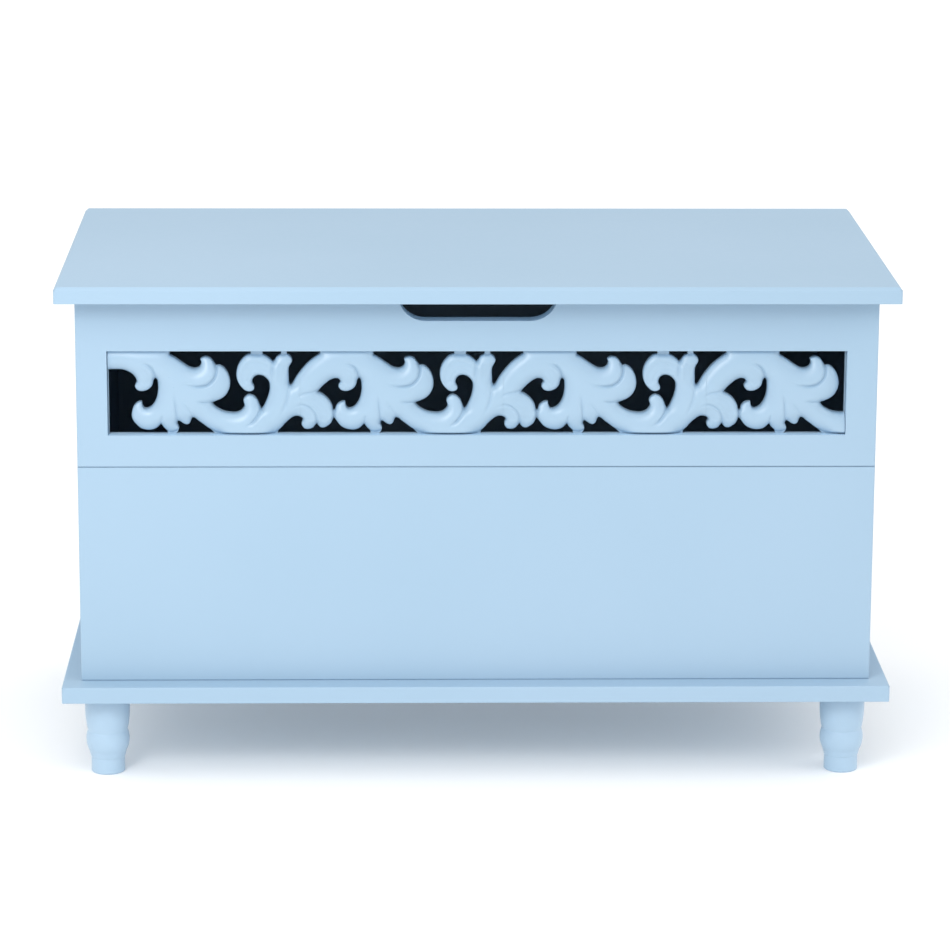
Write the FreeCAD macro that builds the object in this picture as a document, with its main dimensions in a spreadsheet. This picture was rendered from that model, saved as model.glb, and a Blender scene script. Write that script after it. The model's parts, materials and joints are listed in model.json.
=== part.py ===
import FreeCAD, Part
import os

import Sketcher

# A storage chest of painted board. It stands on four turned feet with its front towards -Y.
# The origin is on the floor, under the middle of the lid. All sizes are in millimetres.

Vector = FreeCAD.Vector
UP = Vector(0, 0, 1)
DOWN = Vector(0, 0, -1)
LEFT = Vector(-1, 0, 0)
RIGHT = Vector(1, 0, 0)
FRONTWARD = Vector(0, -1, 0)
BACKWARD = Vector(0, 1, 0)
ORIGIN = Vector(0, 0, 0)

DIMENSIONS = {
    "lid_width": 760,
    "lid_depth": 420,
    "lid_thick": 15,
    "lid_bevel": 3,
    "lid_gap": 0.5,
    "lid_front_over": 32,
    "lid_rear_over": 20,
    "base_width": 760,
    "base_thick": 15,
    "base_front_over": 24,
    "base_rear_over": 20,
    "corner_round": 2,
    "box_width": 727,
    "box_height": 358.5,
    "front_thick": 18,
    "side_thick": 15,
    "back_thick": 15,
    "seam_height": 202,
    "seam_gap": 0.4,
    "edge_chamfer": 0.8,
    "window_length": 671,
    "window_height": 78,
    "window_bottom": 231.5,
    "rebate_lap": 10,
    "rebate_deep": 6,
    "rebate_play": 0.2,
    "notch_width": 145,
    "notch_deep": 21,
    "notch_radius": 25,
    "leg_height": 76,
    "leg_inset": 39,
    "leg_body_radius": 20.7,
    "leg_foot_radius": 15.5,
    "hinge_spread": 240,
    "hinge_length": 50,
    "hinge_leaf_wide": 12.1,
    "hinge_leaf_thick": 1.2,
    "hinge_barrel_radius": 2.75,
    "hinge_pin_radius": 1.2,
    "hinge_pin_play": 0.05,
    "hinge_set_back": 3.1,
    "hinge_leaf_stop": 0.6,
    "barrel_gap": 0.4,
    "barrel_room": 0.65,
    "fret_repeat": 184.5,
    "fret_edge_gap": 1,
}

doc = FreeCAD.newDocument("StorageChest")
dims = doc.addObject("Spreadsheet::Sheet", "dims")
for row, (alias, number) in enumerate(DIMENSIONS.items(), start=1):
    dims.set(f"A{row}", alias.replace("_", " "))
    dims.set(f"B{row}", str(number))
    dims.setAlias(f"B{row}", alias)
doc.recompute()

# Places that several pieces share, as expressions on the sheet.
BOX_FRONT = "(dims.lid_front_over - dims.lid_depth / 2)"
BOX_BACK = "(dims.lid_depth / 2 - dims.lid_rear_over)"
BASE_TOP = "(dims.leg_height + dims.base_thick)"
BOX_TOP = f"({BASE_TOP} + dims.box_height)"
LID_UNDER = f"({BOX_TOP} + dims.lid_gap)"
AXIS_Y = f"({BOX_BACK} + dims.hinge_set_back)"
AXIS_Z = f"({BOX_TOP} + dims.lid_gap / 2)"
INNER_SIDE = "(dims.box_width / 2 - dims.side_thick)"

finished = []


def value(expression):
    """The number that an expression on the sheet stands for."""
    return float(dims.evalExpression(expression.replace("dims.", "")))


def keep(piece, label):
    """Marks an object as a finished sub-part with its node name."""
    piece.Label = label
    finished.append(piece)
    return piece


def bind(piece, sizes):
    for prop, expression in sizes.items():
        piece.setExpression(prop, expression)


def bind_place(piece, x, y, z):
    bind(piece, {"Placement.Base.x": x, "Placement.Base.y": y, "Placement.Base.z": z})


def block(name, length, width, height, x, y, z):
    """A box with its lowest corner at x, y, z, every size an expression."""
    piece = doc.addObject("Part::Box", name)
    bind(piece, {"Length": length, "Width": width, "Height": height})
    bind_place(piece, x, y, z)
    return piece


def rod(name, radius, length, x, y, z, along=RIGHT):
    """A cylinder that starts at x, y, z and runs along the given direction."""
    piece = doc.addObject("Part::Cylinder", name)
    bind(piece, {"Radius": radius, "Height": length})
    piece.Placement = FreeCAD.Placement(ORIGIN, FreeCAD.Rotation(UP, along))
    bind_place(piece, x, y, z)
    return piece


def fused(name, pieces):
    joined = doc.addObject("Part::MultiFuse", name)
    joined.Shapes = pieces
    return joined


def bored(name, blank, tools):
    """The blank with the room of each tool cut out of it, one after the other."""
    result = blank
    for number, tool in enumerate(tools, start=1):
        cut = doc.addObject("Part::Cut", f"{name}_bored_{number}")
        cut.Base = result
        cut.Tool = tool
        result = cut
    return result


def turned(profile, place, towards):
    """A solid turned from (radius, height) points, its axis then set towards a direction."""
    points = [Vector(radius, 0, height) for radius, height in profile]
    outline = Part.makePolygon(points + points[:1])
    solid = Part.Face(outline).revolve(ORIGIN, UP, 360)
    solid.Placement = FreeCAD.Placement(place, FreeCAD.Rotation(UP, towards))
    return solid


def group(name, solids):
    """Identical fittings in one object, as separate solids."""
    piece = doc.addObject("Part::Feature", name)
    piece.Shape = Part.makeCompound(solids)
    return piece


# Numbers that the fittings are set out from.
box_front = value(BOX_FRONT)
box_back = value(BOX_BACK)
base_under = value("dims.leg_height")
base_top = value(BASE_TOP)
box_top = value(BOX_TOP)
lid_under = value(LID_UNDER)
side_middle = value(f"{INNER_SIDE} + dims.side_thick / 2")
inner_side = value(INNER_SIDE)
front_inside = box_front + value("dims.front_thick")
back_inside = box_back - value("dims.back_thick")
front_middle = (box_front + front_inside) / 2
back_middle = (box_back + back_inside) / 2
seam = base_top + value("dims.seam_height")


# Wood screws: up through the base board into the box, and through the fretwork's border

BASE_SCREW_XS = (-240, 0, 240)
BASE_SCREW_YS = (-90, 90)
FRET_SCREW_XS = (-250, 0, 250)
PAN_HEAD_RADIUS = 3
PAN_HEAD_TALL = 1.8
PAN_SHANK_RADIUS = 1.5
PAN_SCREW_LONG = 15
PAN_TIP = 3


def wood_screw(place, towards, length, shank, head, head_deep):
    """A countersunk screw whose head is flush with place and whose tip points towards."""
    tip = 2 * shank
    profile = [
        (0, 0),
        (head, 0),
        (shank, head_deep),
        (shank, length - tip),
        (0, length),
    ]
    return turned(profile, place, towards)


def base_screw_places():
    for x in BASE_SCREW_XS:
        yield Vector(x, front_middle, base_under)
        yield Vector(x, back_middle, base_under)
    for x in (-side_middle, side_middle):
        for y in BASE_SCREW_YS:
            yield Vector(x, y, base_under)


base_screws = keep(group("base_screws", [
    wood_screw(place, UP, length=45, shank=2, head=4, head_deep=2.4)
    for place in base_screw_places()
]), "base_screws")

window_bottom = base_top + value("dims.window_bottom")
window_top = window_bottom + value("dims.window_height")
window_half = value("dims.window_length / 2")
border_middle = value("dims.rebate_lap / 2")


def fret_screw_places():
    for x in FRET_SCREW_XS:
        yield Vector(x, front_inside, window_bottom - border_middle)
        yield Vector(x, front_inside, window_top + border_middle)
    for x in (-window_half - border_middle, window_half + border_middle):
        yield Vector(x, front_inside, (window_bottom + window_top) / 2)


def pan_screw(place, towards):
    """A short pan-head screw, its head standing proud of place."""
    profile = [
        (0, -PAN_HEAD_TALL),
        (PAN_HEAD_RADIUS - PAN_HEAD_TALL / 2, -PAN_HEAD_TALL),
        (PAN_HEAD_RADIUS, -PAN_HEAD_TALL / 2),
        (PAN_HEAD_RADIUS, 0),
        (PAN_SHANK_RADIUS, 0),
        (PAN_SHANK_RADIUS, PAN_SCREW_LONG - PAN_TIP),
        (0, PAN_SCREW_LONG),
    ]
    return turned(profile, place, towards)


fretwork_screws = keep(group("fretwork_screws", [
    pan_screw(place, FRONTWARD) for place in fret_screw_places()
]), "fretwork_screws")


# Knock-down fittings: a stud screwed into one board is drawn tight by a cam in the other.

CAM_RADIUS = 7.5
CAM_DEEP = 12
CAM_SET_IN = 24
STUD_SCREW_LONG = 11
STUD_SCREW_RADIUS = 2.8
STUD_NECK_RADIUS = 2.2
STUD_NECK_LONG = 19
STUD_HEAD_RADIUS = 3.2
STUD_LONG = 25
STUD_PROFILE = [
    (0, -STUD_SCREW_LONG),
    (STUD_SCREW_RADIUS, -STUD_SCREW_LONG),
    (STUD_SCREW_RADIUS, 0),
    (STUD_NECK_RADIUS, 0),
    (STUD_NECK_RADIUS, STUD_NECK_LONG),
    (STUD_HEAD_RADIUS, STUD_NECK_LONG + STUD_HEAD_RADIUS - STUD_NECK_RADIUS),
    (STUD_HEAD_RADIUS, STUD_LONG),
    (0, STUD_LONG),
]
FRONT_CAM_HEIGHTS = (50, 150, 290)
BACK_CAM_HEIGHTS = (60, 290)


def cam(place, towards):
    profile = [(0, 0), (CAM_RADIUS, 0), (CAM_RADIUS, CAM_DEEP), (0, CAM_DEEP)]
    return turned(profile, place, towards)


def cam_joints():
    """Gives, for each joint, the stud's face, its direction, the cam's face and its direction."""
    stud_deep = value("dims.side_thick / 2")
    for outward in (LEFT, RIGHT):
        sign = outward.x
        for height in FRONT_CAM_HEIGHTS:
            level = base_top + height
            stud_face = Vector(sign * (inner_side + stud_deep), front_inside, level)
            cam_face = Vector(sign * inner_side, front_inside + CAM_SET_IN, level)
            yield stud_face, BACKWARD, cam_face, outward
        for height in BACK_CAM_HEIGHTS:
            level = base_top + height
            stud_face = Vector(sign * inner_side, back_inside + stud_deep, level)
            cam_face = Vector(sign * (inner_side - CAM_SET_IN), back_inside, level)
            yield stud_face, outward * -1, cam_face, BACKWARD


studs = []
cams = []
for stud_face, stud_way, cam_face, cam_way in cam_joints():
    stud = turned(STUD_PROFILE, stud_face, stud_way)
    studs.append(stud)
    cams.append(cam(cam_face, cam_way).cut(stud))
cam_studs = keep(group("cam_studs", studs), "cam_studs")
cam_housings = keep(group("cam_housings", cams), "cam_housings")

DOWEL_XS = (-270, -90, 90, 270)
DOWEL_RADIUS = 4
DOWEL_HALF = 15
END_CHAMFER = 1
dowel_profile = [
    (0, -DOWEL_HALF),
    (DOWEL_RADIUS - END_CHAMFER, -DOWEL_HALF),
    (DOWEL_RADIUS, END_CHAMFER - DOWEL_HALF),
    (DOWEL_RADIUS, DOWEL_HALF - END_CHAMFER),
    (DOWEL_RADIUS - END_CHAMFER, DOWEL_HALF),
    (0, DOWEL_HALF),
]
panel_dowels = keep(group("panel_dowels", [
    turned(dowel_profile, Vector(x, front_middle, seam), UP) for x in DOWEL_XS
]), "panel_dowels")


# Feet and their fixings

LEG_X = "(dims.base_width / 2 - dims.leg_inset)"
LEG_FRONT_Y = f"({BOX_FRONT} - dims.base_front_over + dims.leg_inset)"
LEG_REAR_Y = f"({BOX_BACK} + dims.base_rear_over - dims.leg_inset)"
LEGS = {
    "front_left_leg": (f"-{LEG_X}", LEG_FRONT_Y),
    "front_right_leg": (LEG_X, LEG_FRONT_Y),
    "rear_left_leg": (f"-{LEG_X}", LEG_REAR_Y),
    "rear_right_leg": (LEG_X, LEG_REAR_Y),
}
BOLT_RADIUS = 4
BOLT_IN_LEG = 30
INSERT_RADIUS = 6
INSERT_LONG = 12
bolt_profile = [
    (0, -BOLT_IN_LEG),
    (BOLT_RADIUS - END_CHAMFER, -BOLT_IN_LEG),
    (BOLT_RADIUS, END_CHAMFER - BOLT_IN_LEG),
    (BOLT_RADIUS, INSERT_LONG),
    (0, INSERT_LONG),
]
insert_profile = [
    (BOLT_RADIUS, 0),
    (INSERT_RADIUS, 0),
    (INSERT_RADIUS, INSERT_LONG - END_CHAMFER),
    (INSERT_RADIUS - END_CHAMFER, INSERT_LONG),
    (BOLT_RADIUS, INSERT_LONG),
]
leg_tops = [Vector(value(x), value(y), base_under) for x, y in LEGS.values()]
leg_bolts = keep(group("leg_bolts", [
    turned(bolt_profile, place, UP) for place in leg_tops
]), "leg_bolts")
threaded_inserts = keep(group("threaded_inserts", [
    turned(insert_profile, place, UP) for place in leg_tops
]), "threaded_inserts")


# Sketches and solids made by drawing

def origin_plane(body, role):
    for feature in body.Origin.OriginFeatures:
        if feature.Role == role:
            return feature
    raise ValueError(role)


def add_sketch(body, name, role):
    sketch = body.newObject("Sketcher::SketchObject", name)
    sketch.AttachmentSupport = [(origin_plane(body, role), "")]
    sketch.MapMode = "FlatFace"
    return sketch


def add_line(sketch, start, end):
    return sketch.addGeometry(Part.LineSegment(Vector(*start, 0), Vector(*end, 0)), False)


def add_rectangle(sketch, wide, tall, low):
    """A rectangle centred on the sketch's upright axis, with its lower edge at height low."""
    half = value(wide) / 2
    bottom = value(low)
    top = bottom + value(tall)
    corners = [(-half, bottom), (half, bottom), (half, top), (-half, top)]
    lines = [add_line(sketch, corners[i], corners[(i + 1) % 4]) for i in range(4)]
    for i in range(4):
        sketch.addConstraint(Sketcher.Constraint("Coincident", lines[i], 2, lines[(i + 1) % 4], 1))
    sketch.addConstraint(Sketcher.Constraint("Horizontal", lines[2]))
    for i in (1, 3):
        sketch.addConstraint(Sketcher.Constraint("Vertical", lines[i]))
    sketch.addConstraint(Sketcher.Constraint("Symmetric", lines[0], 1, lines[0], 2, -2))
    named = {
        "wide": Sketcher.Constraint("DistanceX", lines[0], 1, lines[0], 2, 2 * half),
        "tall": Sketcher.Constraint("DistanceY", lines[1], 1, lines[1], 2, top - bottom),
    }
    if bottom > 0:
        named["low"] = Sketcher.Constraint("DistanceY", -1, 1, lines[0], 1, bottom)
    else:
        sketch.addConstraint(Sketcher.Constraint("PointOnObject", lines[0], 1, -1))
    expressions = {"wide": wide, "tall": tall, "low": low}
    for name, constraint in named.items():
        index = sketch.addConstraint(constraint)
        sketch.renameConstraint(index, name)
        sketch.setExpression(f"Constraints.{name}", expressions[name])


def add_pad(body, sketch, length, reverse=False):
    pad = body.newObject("PartDesign::Pad", f"{body.Name}_pad")
    pad.Profile = sketch
    pad.Reversed = reverse
    pad.setExpression("Length", length)
    doc.recompute()
    return pad


def add_pocket(body, sketch, length, reverse=False):
    """A pocket that is checked to take material away."""
    doc.recompute()
    before = body.Shape.Volume
    pocket = body.newObject("PartDesign::Pocket", f"{sketch.Name}_pocket")
    pocket.Profile = sketch
    pocket.Reversed = reverse
    pocket.setExpression("Length", length)
    doc.recompute()
    if body.Shape.Volume > before - 1:
        raise RuntimeError(f"{sketch.Name} cuts nothing")
    return pocket


def edges_where(shape, test):
    return [f"Edge{i}" for i, edge in enumerate(shape.Edges, start=1) if test(edge)]


def at_level(edge, axis, level):
    return all(abs(getattr(vertex.Point, axis) - level) < 1e-6 for vertex in edge.Vertexes)


def climbing(edge):
    ends = [vertex.Point for vertex in edge.Vertexes]
    return len(ends) == 2 and abs(ends[0].z - ends[1].z) > 1e-6


def add_dressing(body, kind, edges, prop, expression):
    """Rounds or chamfers the named edges of the body's last feature."""
    base = body.Tip
    feature = body.newObject(f"PartDesign::{kind}", f"{base.Name}_{kind.lower()}")
    feature.Base = (base, edges)
    feature.setExpression(prop, expression)
    doc.recompute()
    return feature


def flat_board(name, wide, deep, thick, bevel):
    """A level board, its front edge on the body's X axis, bevelled on top, its corners rounded."""
    body = doc.addObject("PartDesign::Body", name)
    sketch = add_sketch(body, f"{name}_outline", "XY_Plane")
    add_rectangle(sketch, wide, deep, "0")
    pad = add_pad(body, sketch, thick)
    top_edges = edges_where(pad.Shape, lambda edge: at_level(edge, "z", value(thick)))
    chamfer = add_dressing(body, "Chamfer", top_edges, "Size", bevel)
    corners = edges_where(chamfer.Shape, climbing)
    add_dressing(body, "Fillet", corners, "Radius", "dims.corner_round")
    return body


def standing_board(name, wide, tall, thick):
    """An upright board, its front face on the body's XZ plane and its foot at height 0."""
    body = doc.addObject("PartDesign::Body", name)
    sketch = add_sketch(body, f"{name}_outline", "XZ_Plane")
    add_rectangle(sketch, wide, tall, "0")
    pad = add_pad(body, sketch, thick, reverse=True)
    edges = edges_where(pad.Shape, lambda edge: at_level(edge, "y", 0))
    add_dressing(body, "Chamfer", edges, "Size", "dims.edge_chamfer")
    return body


# Lid and base board

lid_blank = flat_board(
    "lid_blank", "dims.lid_width", "dims.lid_depth", "dims.lid_thick", "dims.lid_bevel")
bind_place(lid_blank, "0", "-dims.lid_depth / 2", LID_UNDER)

base_blank = flat_board(
    "base_blank", "dims.base_width",
    f"{BOX_BACK} - {BOX_FRONT} + dims.base_front_over + dims.base_rear_over", "dims.base_thick",
    "dims.edge_chamfer")
bind_place(base_blank, "0", f"{BOX_FRONT} - dims.base_front_over", "dims.leg_height")
keep(bored("base_board", base_blank, [base_screws, leg_bolts, threaded_inserts]), "base_board")


# Front: a plain board below and a frame above it, pierced for the fretwork and notched for fingers

lower_blank = standing_board(
    "lower_blank", "dims.box_width", "dims.seam_height - dims.seam_gap", "dims.front_thick")
bind_place(lower_blank, "0", BOX_FRONT, BASE_TOP)
keep(bored("front_lower_panel", lower_blank, [base_screws, cam_studs, panel_dowels]),
     "front_lower_panel")

frame_blank = standing_board(
    "frame_blank", "dims.box_width", "dims.box_height - dims.seam_height", "dims.front_thick")
window_low = "dims.window_bottom - dims.seam_height"
window_sketch = add_sketch(frame_blank, "window", "XZ_Plane")
add_rectangle(window_sketch, "dims.window_length", "dims.window_height", window_low)
add_pocket(frame_blank, window_sketch, "dims.front_thick")

rebate_sketch = add_sketch(frame_blank, "rebate", "XZ_Plane")
rebate_sketch.setExpression("AttachmentOffset.Base.z", "-dims.front_thick")
lap_and_play = "2 * (dims.rebate_lap + dims.rebate_play)"
add_rectangle(
    rebate_sketch, f"dims.window_length + {lap_and_play}", f"dims.window_height + {lap_and_play}",
    f"{window_low} - dims.rebate_lap - dims.rebate_play")
add_pocket(frame_blank, rebate_sketch, "dims.rebate_deep", reverse=True)


def add_notch_outline(sketch):
    """A shallow finger notch: a level floor that turns up through two quarter circles."""
    half = value("dims.notch_width") / 2
    radius = value("dims.notch_radius")
    floor = value("dims.box_height - dims.seam_height - dims.notch_deep")
    flat = half - radius
    bend = radius * 0.5 ** 0.5
    rim = floor + radius
    corners = []
    for sign in (1, -1):
        middle = (sign * (flat + bend), rim - bend)
        arc = Part.Arc(Vector(sign * flat, floor, 0), Vector(*middle, 0), Vector(sign * half, rim, 0))
        corners.append(sketch.addGeometry(arc, False))
    bottom = add_line(sketch, (-flat, floor), (flat, floor))
    top = add_line(sketch, (-half, rim), (half, rim))
    # The right arc starts at the floor, and the left arc is stored the other way round.
    sketch.addConstraint(Sketcher.Constraint("Coincident", bottom, 2, corners[0], 1))
    sketch.addConstraint(Sketcher.Constraint("Coincident", top, 2, corners[0], 2))
    sketch.addConstraint(Sketcher.Constraint("Coincident", bottom, 1, corners[1], 2))
    sketch.addConstraint(Sketcher.Constraint("Coincident", top, 1, corners[1], 1))


notch_sketch = add_sketch(frame_blank, "finger_notch", "XZ_Plane")
add_notch_outline(notch_sketch)
add_pocket(frame_blank, notch_sketch, "dims.front_thick")
bind_place(frame_blank, "0", BOX_FRONT, f"{BASE_TOP} + dims.seam_height")
keep(bored("front_frame", frame_blank, [cam_studs, panel_dowels, fretwork_screws]), "front_frame")


# Sides and back

side_long = f"{BOX_BACK} - {BOX_FRONT} - dims.front_thick"
side_start = f"{BOX_FRONT} + dims.front_thick"
left_faces = {"left_side_panel": "-dims.box_width / 2", "right_side_panel": INNER_SIDE}
for label, left_face in left_faces.items():
    side_blank = block(
        f"{label}_blank", "dims.side_thick", side_long, "dims.box_height",
        left_face, side_start, BASE_TOP)
    keep(bored(label, side_blank, [base_screws, cam_housings, cam_studs]), label)


# Hinges: each has two leaves let into the back's top edge and the lid, on one pin

LEAF_END = f"({AXIS_Y} - dims.hinge_barrel_radius - dims.hinge_leaf_stop)"
LEAF_START = f"({LEAF_END} - dims.hinge_leaf_wide)"
KNUCKLES = 5
SCREW_STEP = 17
SCREW_SET_IN = 5.6
leaf_screw_y = value(LEAF_START) + SCREW_SET_IN
hinge_x = value("dims.hinge_spread")


def leaf_screws(name, level, towards, length):
    """Three screws through each of the two hinges' leaves."""
    return keep(group(name, [
        wood_screw(Vector(x + step, leaf_screw_y, level), towards, length, shank=1.4, head=2.8,
                   head_deep=1.2)
        for x in (-hinge_x, hinge_x)
        for step in (-SCREW_STEP, 0, SCREW_STEP)
    ]), name)


hinge_body_screws = leaf_screws("hinge_body_screws", box_top, DOWN, length=20)
hinge_lid_screws = leaf_screws("hinge_lid_screws", lid_under, UP, length=12)


def leaf(name, centre, first_knuckle, level, screws):
    """A leaf with every second knuckle of the barrel, bored for the pin and for its screws."""
    start = f"({centre} - dims.hinge_length / 2)"
    knuckle_step = f"(dims.hinge_length / {KNUCKLES})"
    knuckle_long = f"{knuckle_step} - dims.barrel_gap"
    plate = block(f"{name}_plate", "dims.hinge_length", "dims.hinge_leaf_wide",
                  "dims.hinge_leaf_thick", start, LEAF_START, level)
    pieces = [plate]
    for number in range(first_knuckle, KNUCKLES, 2):
        left_end = f"{start} + {number} * {knuckle_step} + dims.barrel_gap / 2"
        pieces.append(rod(f"{name}_knuckle_{number}", "dims.hinge_barrel_radius", knuckle_long,
                          left_end, AXIS_Y, AXIS_Z))
        pieces.append(block(f"{name}_tongue_{number}", knuckle_long, f"{AXIS_Y} - {LEAF_START}",
                            "dims.hinge_leaf_thick", left_end, LEAF_START, level))
    bore = rod(f"{name}_bore", "dims.hinge_pin_radius + dims.hinge_pin_play",
               "dims.hinge_length + 2", f"{start} - 1", AXIS_Y, AXIS_Z)
    return keep(bored(name, fused(f"{name}_blank", pieces), [bore, screws]), name)


body_leaves = []
lid_leaves = []
knuckle_rooms = []
for side, centre in (("left", "-dims.hinge_spread"), ("right", "dims.hinge_spread")):
    body_leaves.append(leaf(f"{side}_hinge_body_leaf", centre, 0,
                            f"{BOX_TOP} - dims.hinge_leaf_thick", hinge_body_screws))
    lid_leaves.append(leaf(f"{side}_hinge_lid_leaf", centre, 1, LID_UNDER, hinge_lid_screws))
    keep(rod(f"{side}_hinge_pin", "dims.hinge_pin_radius", "dims.hinge_length",
             f"{centre} - dims.hinge_length / 2", AXIS_Y, AXIS_Z), f"{side}_hinge_pin")
    knuckle_rooms.append(rod(
        f"{side}_knuckle_room", "dims.hinge_barrel_radius + dims.barrel_room",
        "dims.hinge_length + 2 * dims.barrel_room",
        f"{centre} - dims.hinge_length / 2 - dims.barrel_room", AXIS_Y, AXIS_Z))

keep(bored("lid_panel", lid_blank, lid_leaves + knuckle_rooms + [hinge_lid_screws]), "lid_panel")

back_blank = block(
    "back_blank", f"2 * {INNER_SIDE}", "dims.back_thick", "dims.box_height",
    f"-{INNER_SIDE}", f"{BOX_BACK} - dims.back_thick", BASE_TOP)
keep(bored("back_panel", back_blank,
           [base_screws, cam_housings, cam_studs] + body_leaves + [hinge_body_screws]), "back_panel")


# Turned feet

def add_leg_profile(sketch):
    """Half of the foot's outline, from the floor up: ankle, collar, rounded bead and long bulb."""
    foot = value("dims.leg_foot_radius")
    top = value("dims.leg_height")
    arris = value("dims.edge_chamfer")
    sole = (foot - arris, 0)
    heel = (foot, arris)
    ankle = (foot, 14.5)
    collar = (foot + 0.4, 15)
    bead_low = (17.2, 20.2)
    bead_widest = (20.0, 31.5)
    neck = (18.4, 40)
    bulb_widest = (value("dims.leg_body_radius"), 62)
    shoulder = (19.6, top)
    corners = [(0, 0), sole, heel, ankle, collar, bead_low]
    parts = [add_line(sketch, start, end) for start, end in zip(corners, corners[1:])]
    for start, middle, end in ((bead_low, bead_widest, neck), (neck, bulb_widest, shoulder)):
        arc = Part.Arc(Vector(*start, 0), Vector(*middle, 0), Vector(*end, 0))
        parts.append(sketch.addGeometry(arc, False))
    parts.append(add_line(sketch, shoulder, (0, top)))
    parts.append(add_line(sketch, (0, top), (0, 0)))
    for part, following in zip(parts, parts[1:] + parts[:1]):
        sketch.addConstraint(Sketcher.Constraint("Coincident", part, 2, following, 1))


for label, (leg_x, leg_y) in LEGS.items():
    leg = doc.addObject("PartDesign::Body", f"{label}_blank")
    profile = add_sketch(leg, f"{label}_profile", "XZ_Plane")
    add_leg_profile(profile)
    turning = leg.newObject("PartDesign::Revolution", f"{label}_turning")
    turning.Profile = profile
    turning.ReferenceAxis = (profile, ["V_Axis"])
    turning.Angle = 360
    doc.recompute()
    bind_place(leg, leg_x, leg_y, "0")
    keep(bored(label, leg, [leg_bolts]), label)


# Fretwork. Points are (along, up) in millimetres from the window's lower left corner. One repeat
# of the scroll is drawn, and the panel carries it until the window ends. A run of points is a
# smooth curve from one corner of an opening to the next.

TOP = value("dims.window_height")
LEFT_END = value("dims.fret_edge_gap")
RIGHT_END = value("dims.window_length - dims.fret_edge_gap")
REPEAT = value("dims.fret_repeat")

PLUME_GAP = [
    [(130, TOP)],
    [(56.5, TOP)],
    [(56.5, 73), (61, 70.4), (66, 66.9), (71, 63.4), (75.5, 60.9), (80, 60.4), (83.5, 62),
     (85, 64.8), (85, 67.2)],
    [(84.2, 69.2), (88, 71), (91, 70.8), (94.3, 68.7), (96.5, 65.5)],
    [(98.5, 62.8), (101, 63.2), (104, 62), (107.5, 58.5), (110, 53.5), (111, 48), (110.7, 43.2),
     (109, 38.7), (106, 34.7), (102, 32), (98, 30.2)],
    [(94.5, 28.6), (97, 25.2), (101, 22.4), (106, 20.2), (111, 19.3), (116, 19.2), (120, 20.6),
     (122.8, 23.2), (124, 26), (123.4, 28.5), (123, 31), (125, 34.2), (128, 35.8), (131, 35.3),
     (134, 33.2), (136.2, 30), (137.5, 26.5)],
    [(139.3, 22.6), (141.2, 25), (143.2, 29), (145.2, 34), (146.6, 39.5), (147, 44),
     (146.2, 48.3), (144, 51.3), (141, 53.6), (138, 54.4), (135, 54), (132.5, 52.2),
     (131.2, 49.5), (131.3, 46.5), (132.7, 43.8), (132.8, 41.6), (131.3, 39.8), (128, 39),
     (125, 39.7), (122, 42.2), (119.5, 45.4), (117.5, 50), (116.8, 55), (117.3, 59.5),
     (118.8, 64), (121, 67.5), (124, 70.9), (127, 72.9)],
    [(130, 73.6)],
]
CURL_NOTCH = [
    [(157.5, TOP)],
    [(140.5, TOP)],
    [(140.5, 73.2), (145, 71), (148, 68.5)],
    [(150, 66.6), (151.3, 67.6), (152.7, 70), (155, 72.3)],
    [(157.5, 73.6)],
]
STEM_WEDGE = [
    [(194, TOP)],
    [(162.5, TOP)],
    [(162.5, 74), (166, 71), (167.3, 67.2), (166.3, 65), (164.7, 62.2), (164, 57), (164.3, 50),
     (164.8, 46.2), (166, 44.8), (167.6, 46.4), (171, 52.4), (175, 57.9), (180, 63.9),
     (185, 68.4), (189.5, 71.7)],
    [(194, 73.6)],
]
CURL_INSIDE = [(25.3, 46), (24.8, 43.8), (25.5, 42), (27.5, 40.1), (30, 39.4), (33, 39.5), (36, 40.5),
               (39, 42.7), (41, 46), (42, 50), (43.3, 51.3), (44.8, 50.3), (45.6, 47), (45.8, 43),
               (45.4, 38), (44, 32.2), (41.5, 27.5), (39, 24.8), (36, 23.3), (34, 23.2),
               (32.2, 24.3), (31.2, 26.6)]
ARCH_GAP = [
    [(6, 38.8), (8, 41.5), (11, 44.7), (15, 48.2), (19, 50.7), (22, 51.4), (25, 50.6)],
    [(26.8, 48.2)] + CURL_INSIDE,
    [(30.8, 29.5), (28, 29.4), (25, 28), (22.6, 25.2)],
    [(21.7, 21.6)],
    [(19.8, 21.6), (19.2, 25), (17.5, 29), (15, 32.4), (11.5, 35.5)],
]
COMMA_FOOT = [(41, 3.9), (44, 5.2), (46, 7)]
FOOT_GAP = [
    [(54, 0)],
    [(-30.3, 0), (-30, 2.7), (-27.5, 5.2), (-24.5, 8.7), (-21.5, 11.7), (-18.5, 14.2),
     (-15.5, 16), (-12.5, 16.4), (-10, 15.7), (-8, 14.2)],
    [(-7.5, 12.8), (-8.5, 11), (-8.9, 8.9), (-8.2, 6.7), (-6.5, 4.7), (-4, 4), (-1.5, 4.2),
     (1.5, 5.5), (3.5, 7.7)],
    [(5, 9.2), (7.5, 6.2), (10, 5.2), (12, 5.5), (15, 7.2), (17.5, 9.2), (19, 11.7)],
    [(20, 14.2)],
    [(21.2, 14.2), (24, 10.2), (26, 7.7), (29, 5.5), (32, 4.2), (37, 3.5)] + COMMA_FOOT,
    [(48, 9), (49, 7.7), (51, 5.2), (53.5, 2.7)],
]
LEAF_GAP = [
    [(62, 0), (63.7, 2.8), (64.2, 5.4), (63.2, 8.2), (62.9, 10.3), (64.3, 11.8), (66, 11),
     (69, 9), (72.3, 8.5), (74.2, 9.7), (75.4, 12.8), (77, 15), (79, 14.4), (82, 12),
     (85.5, 9.4), (89, 6.7), (92.5, 4.2)],
    [(97, 0)],
]
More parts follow.
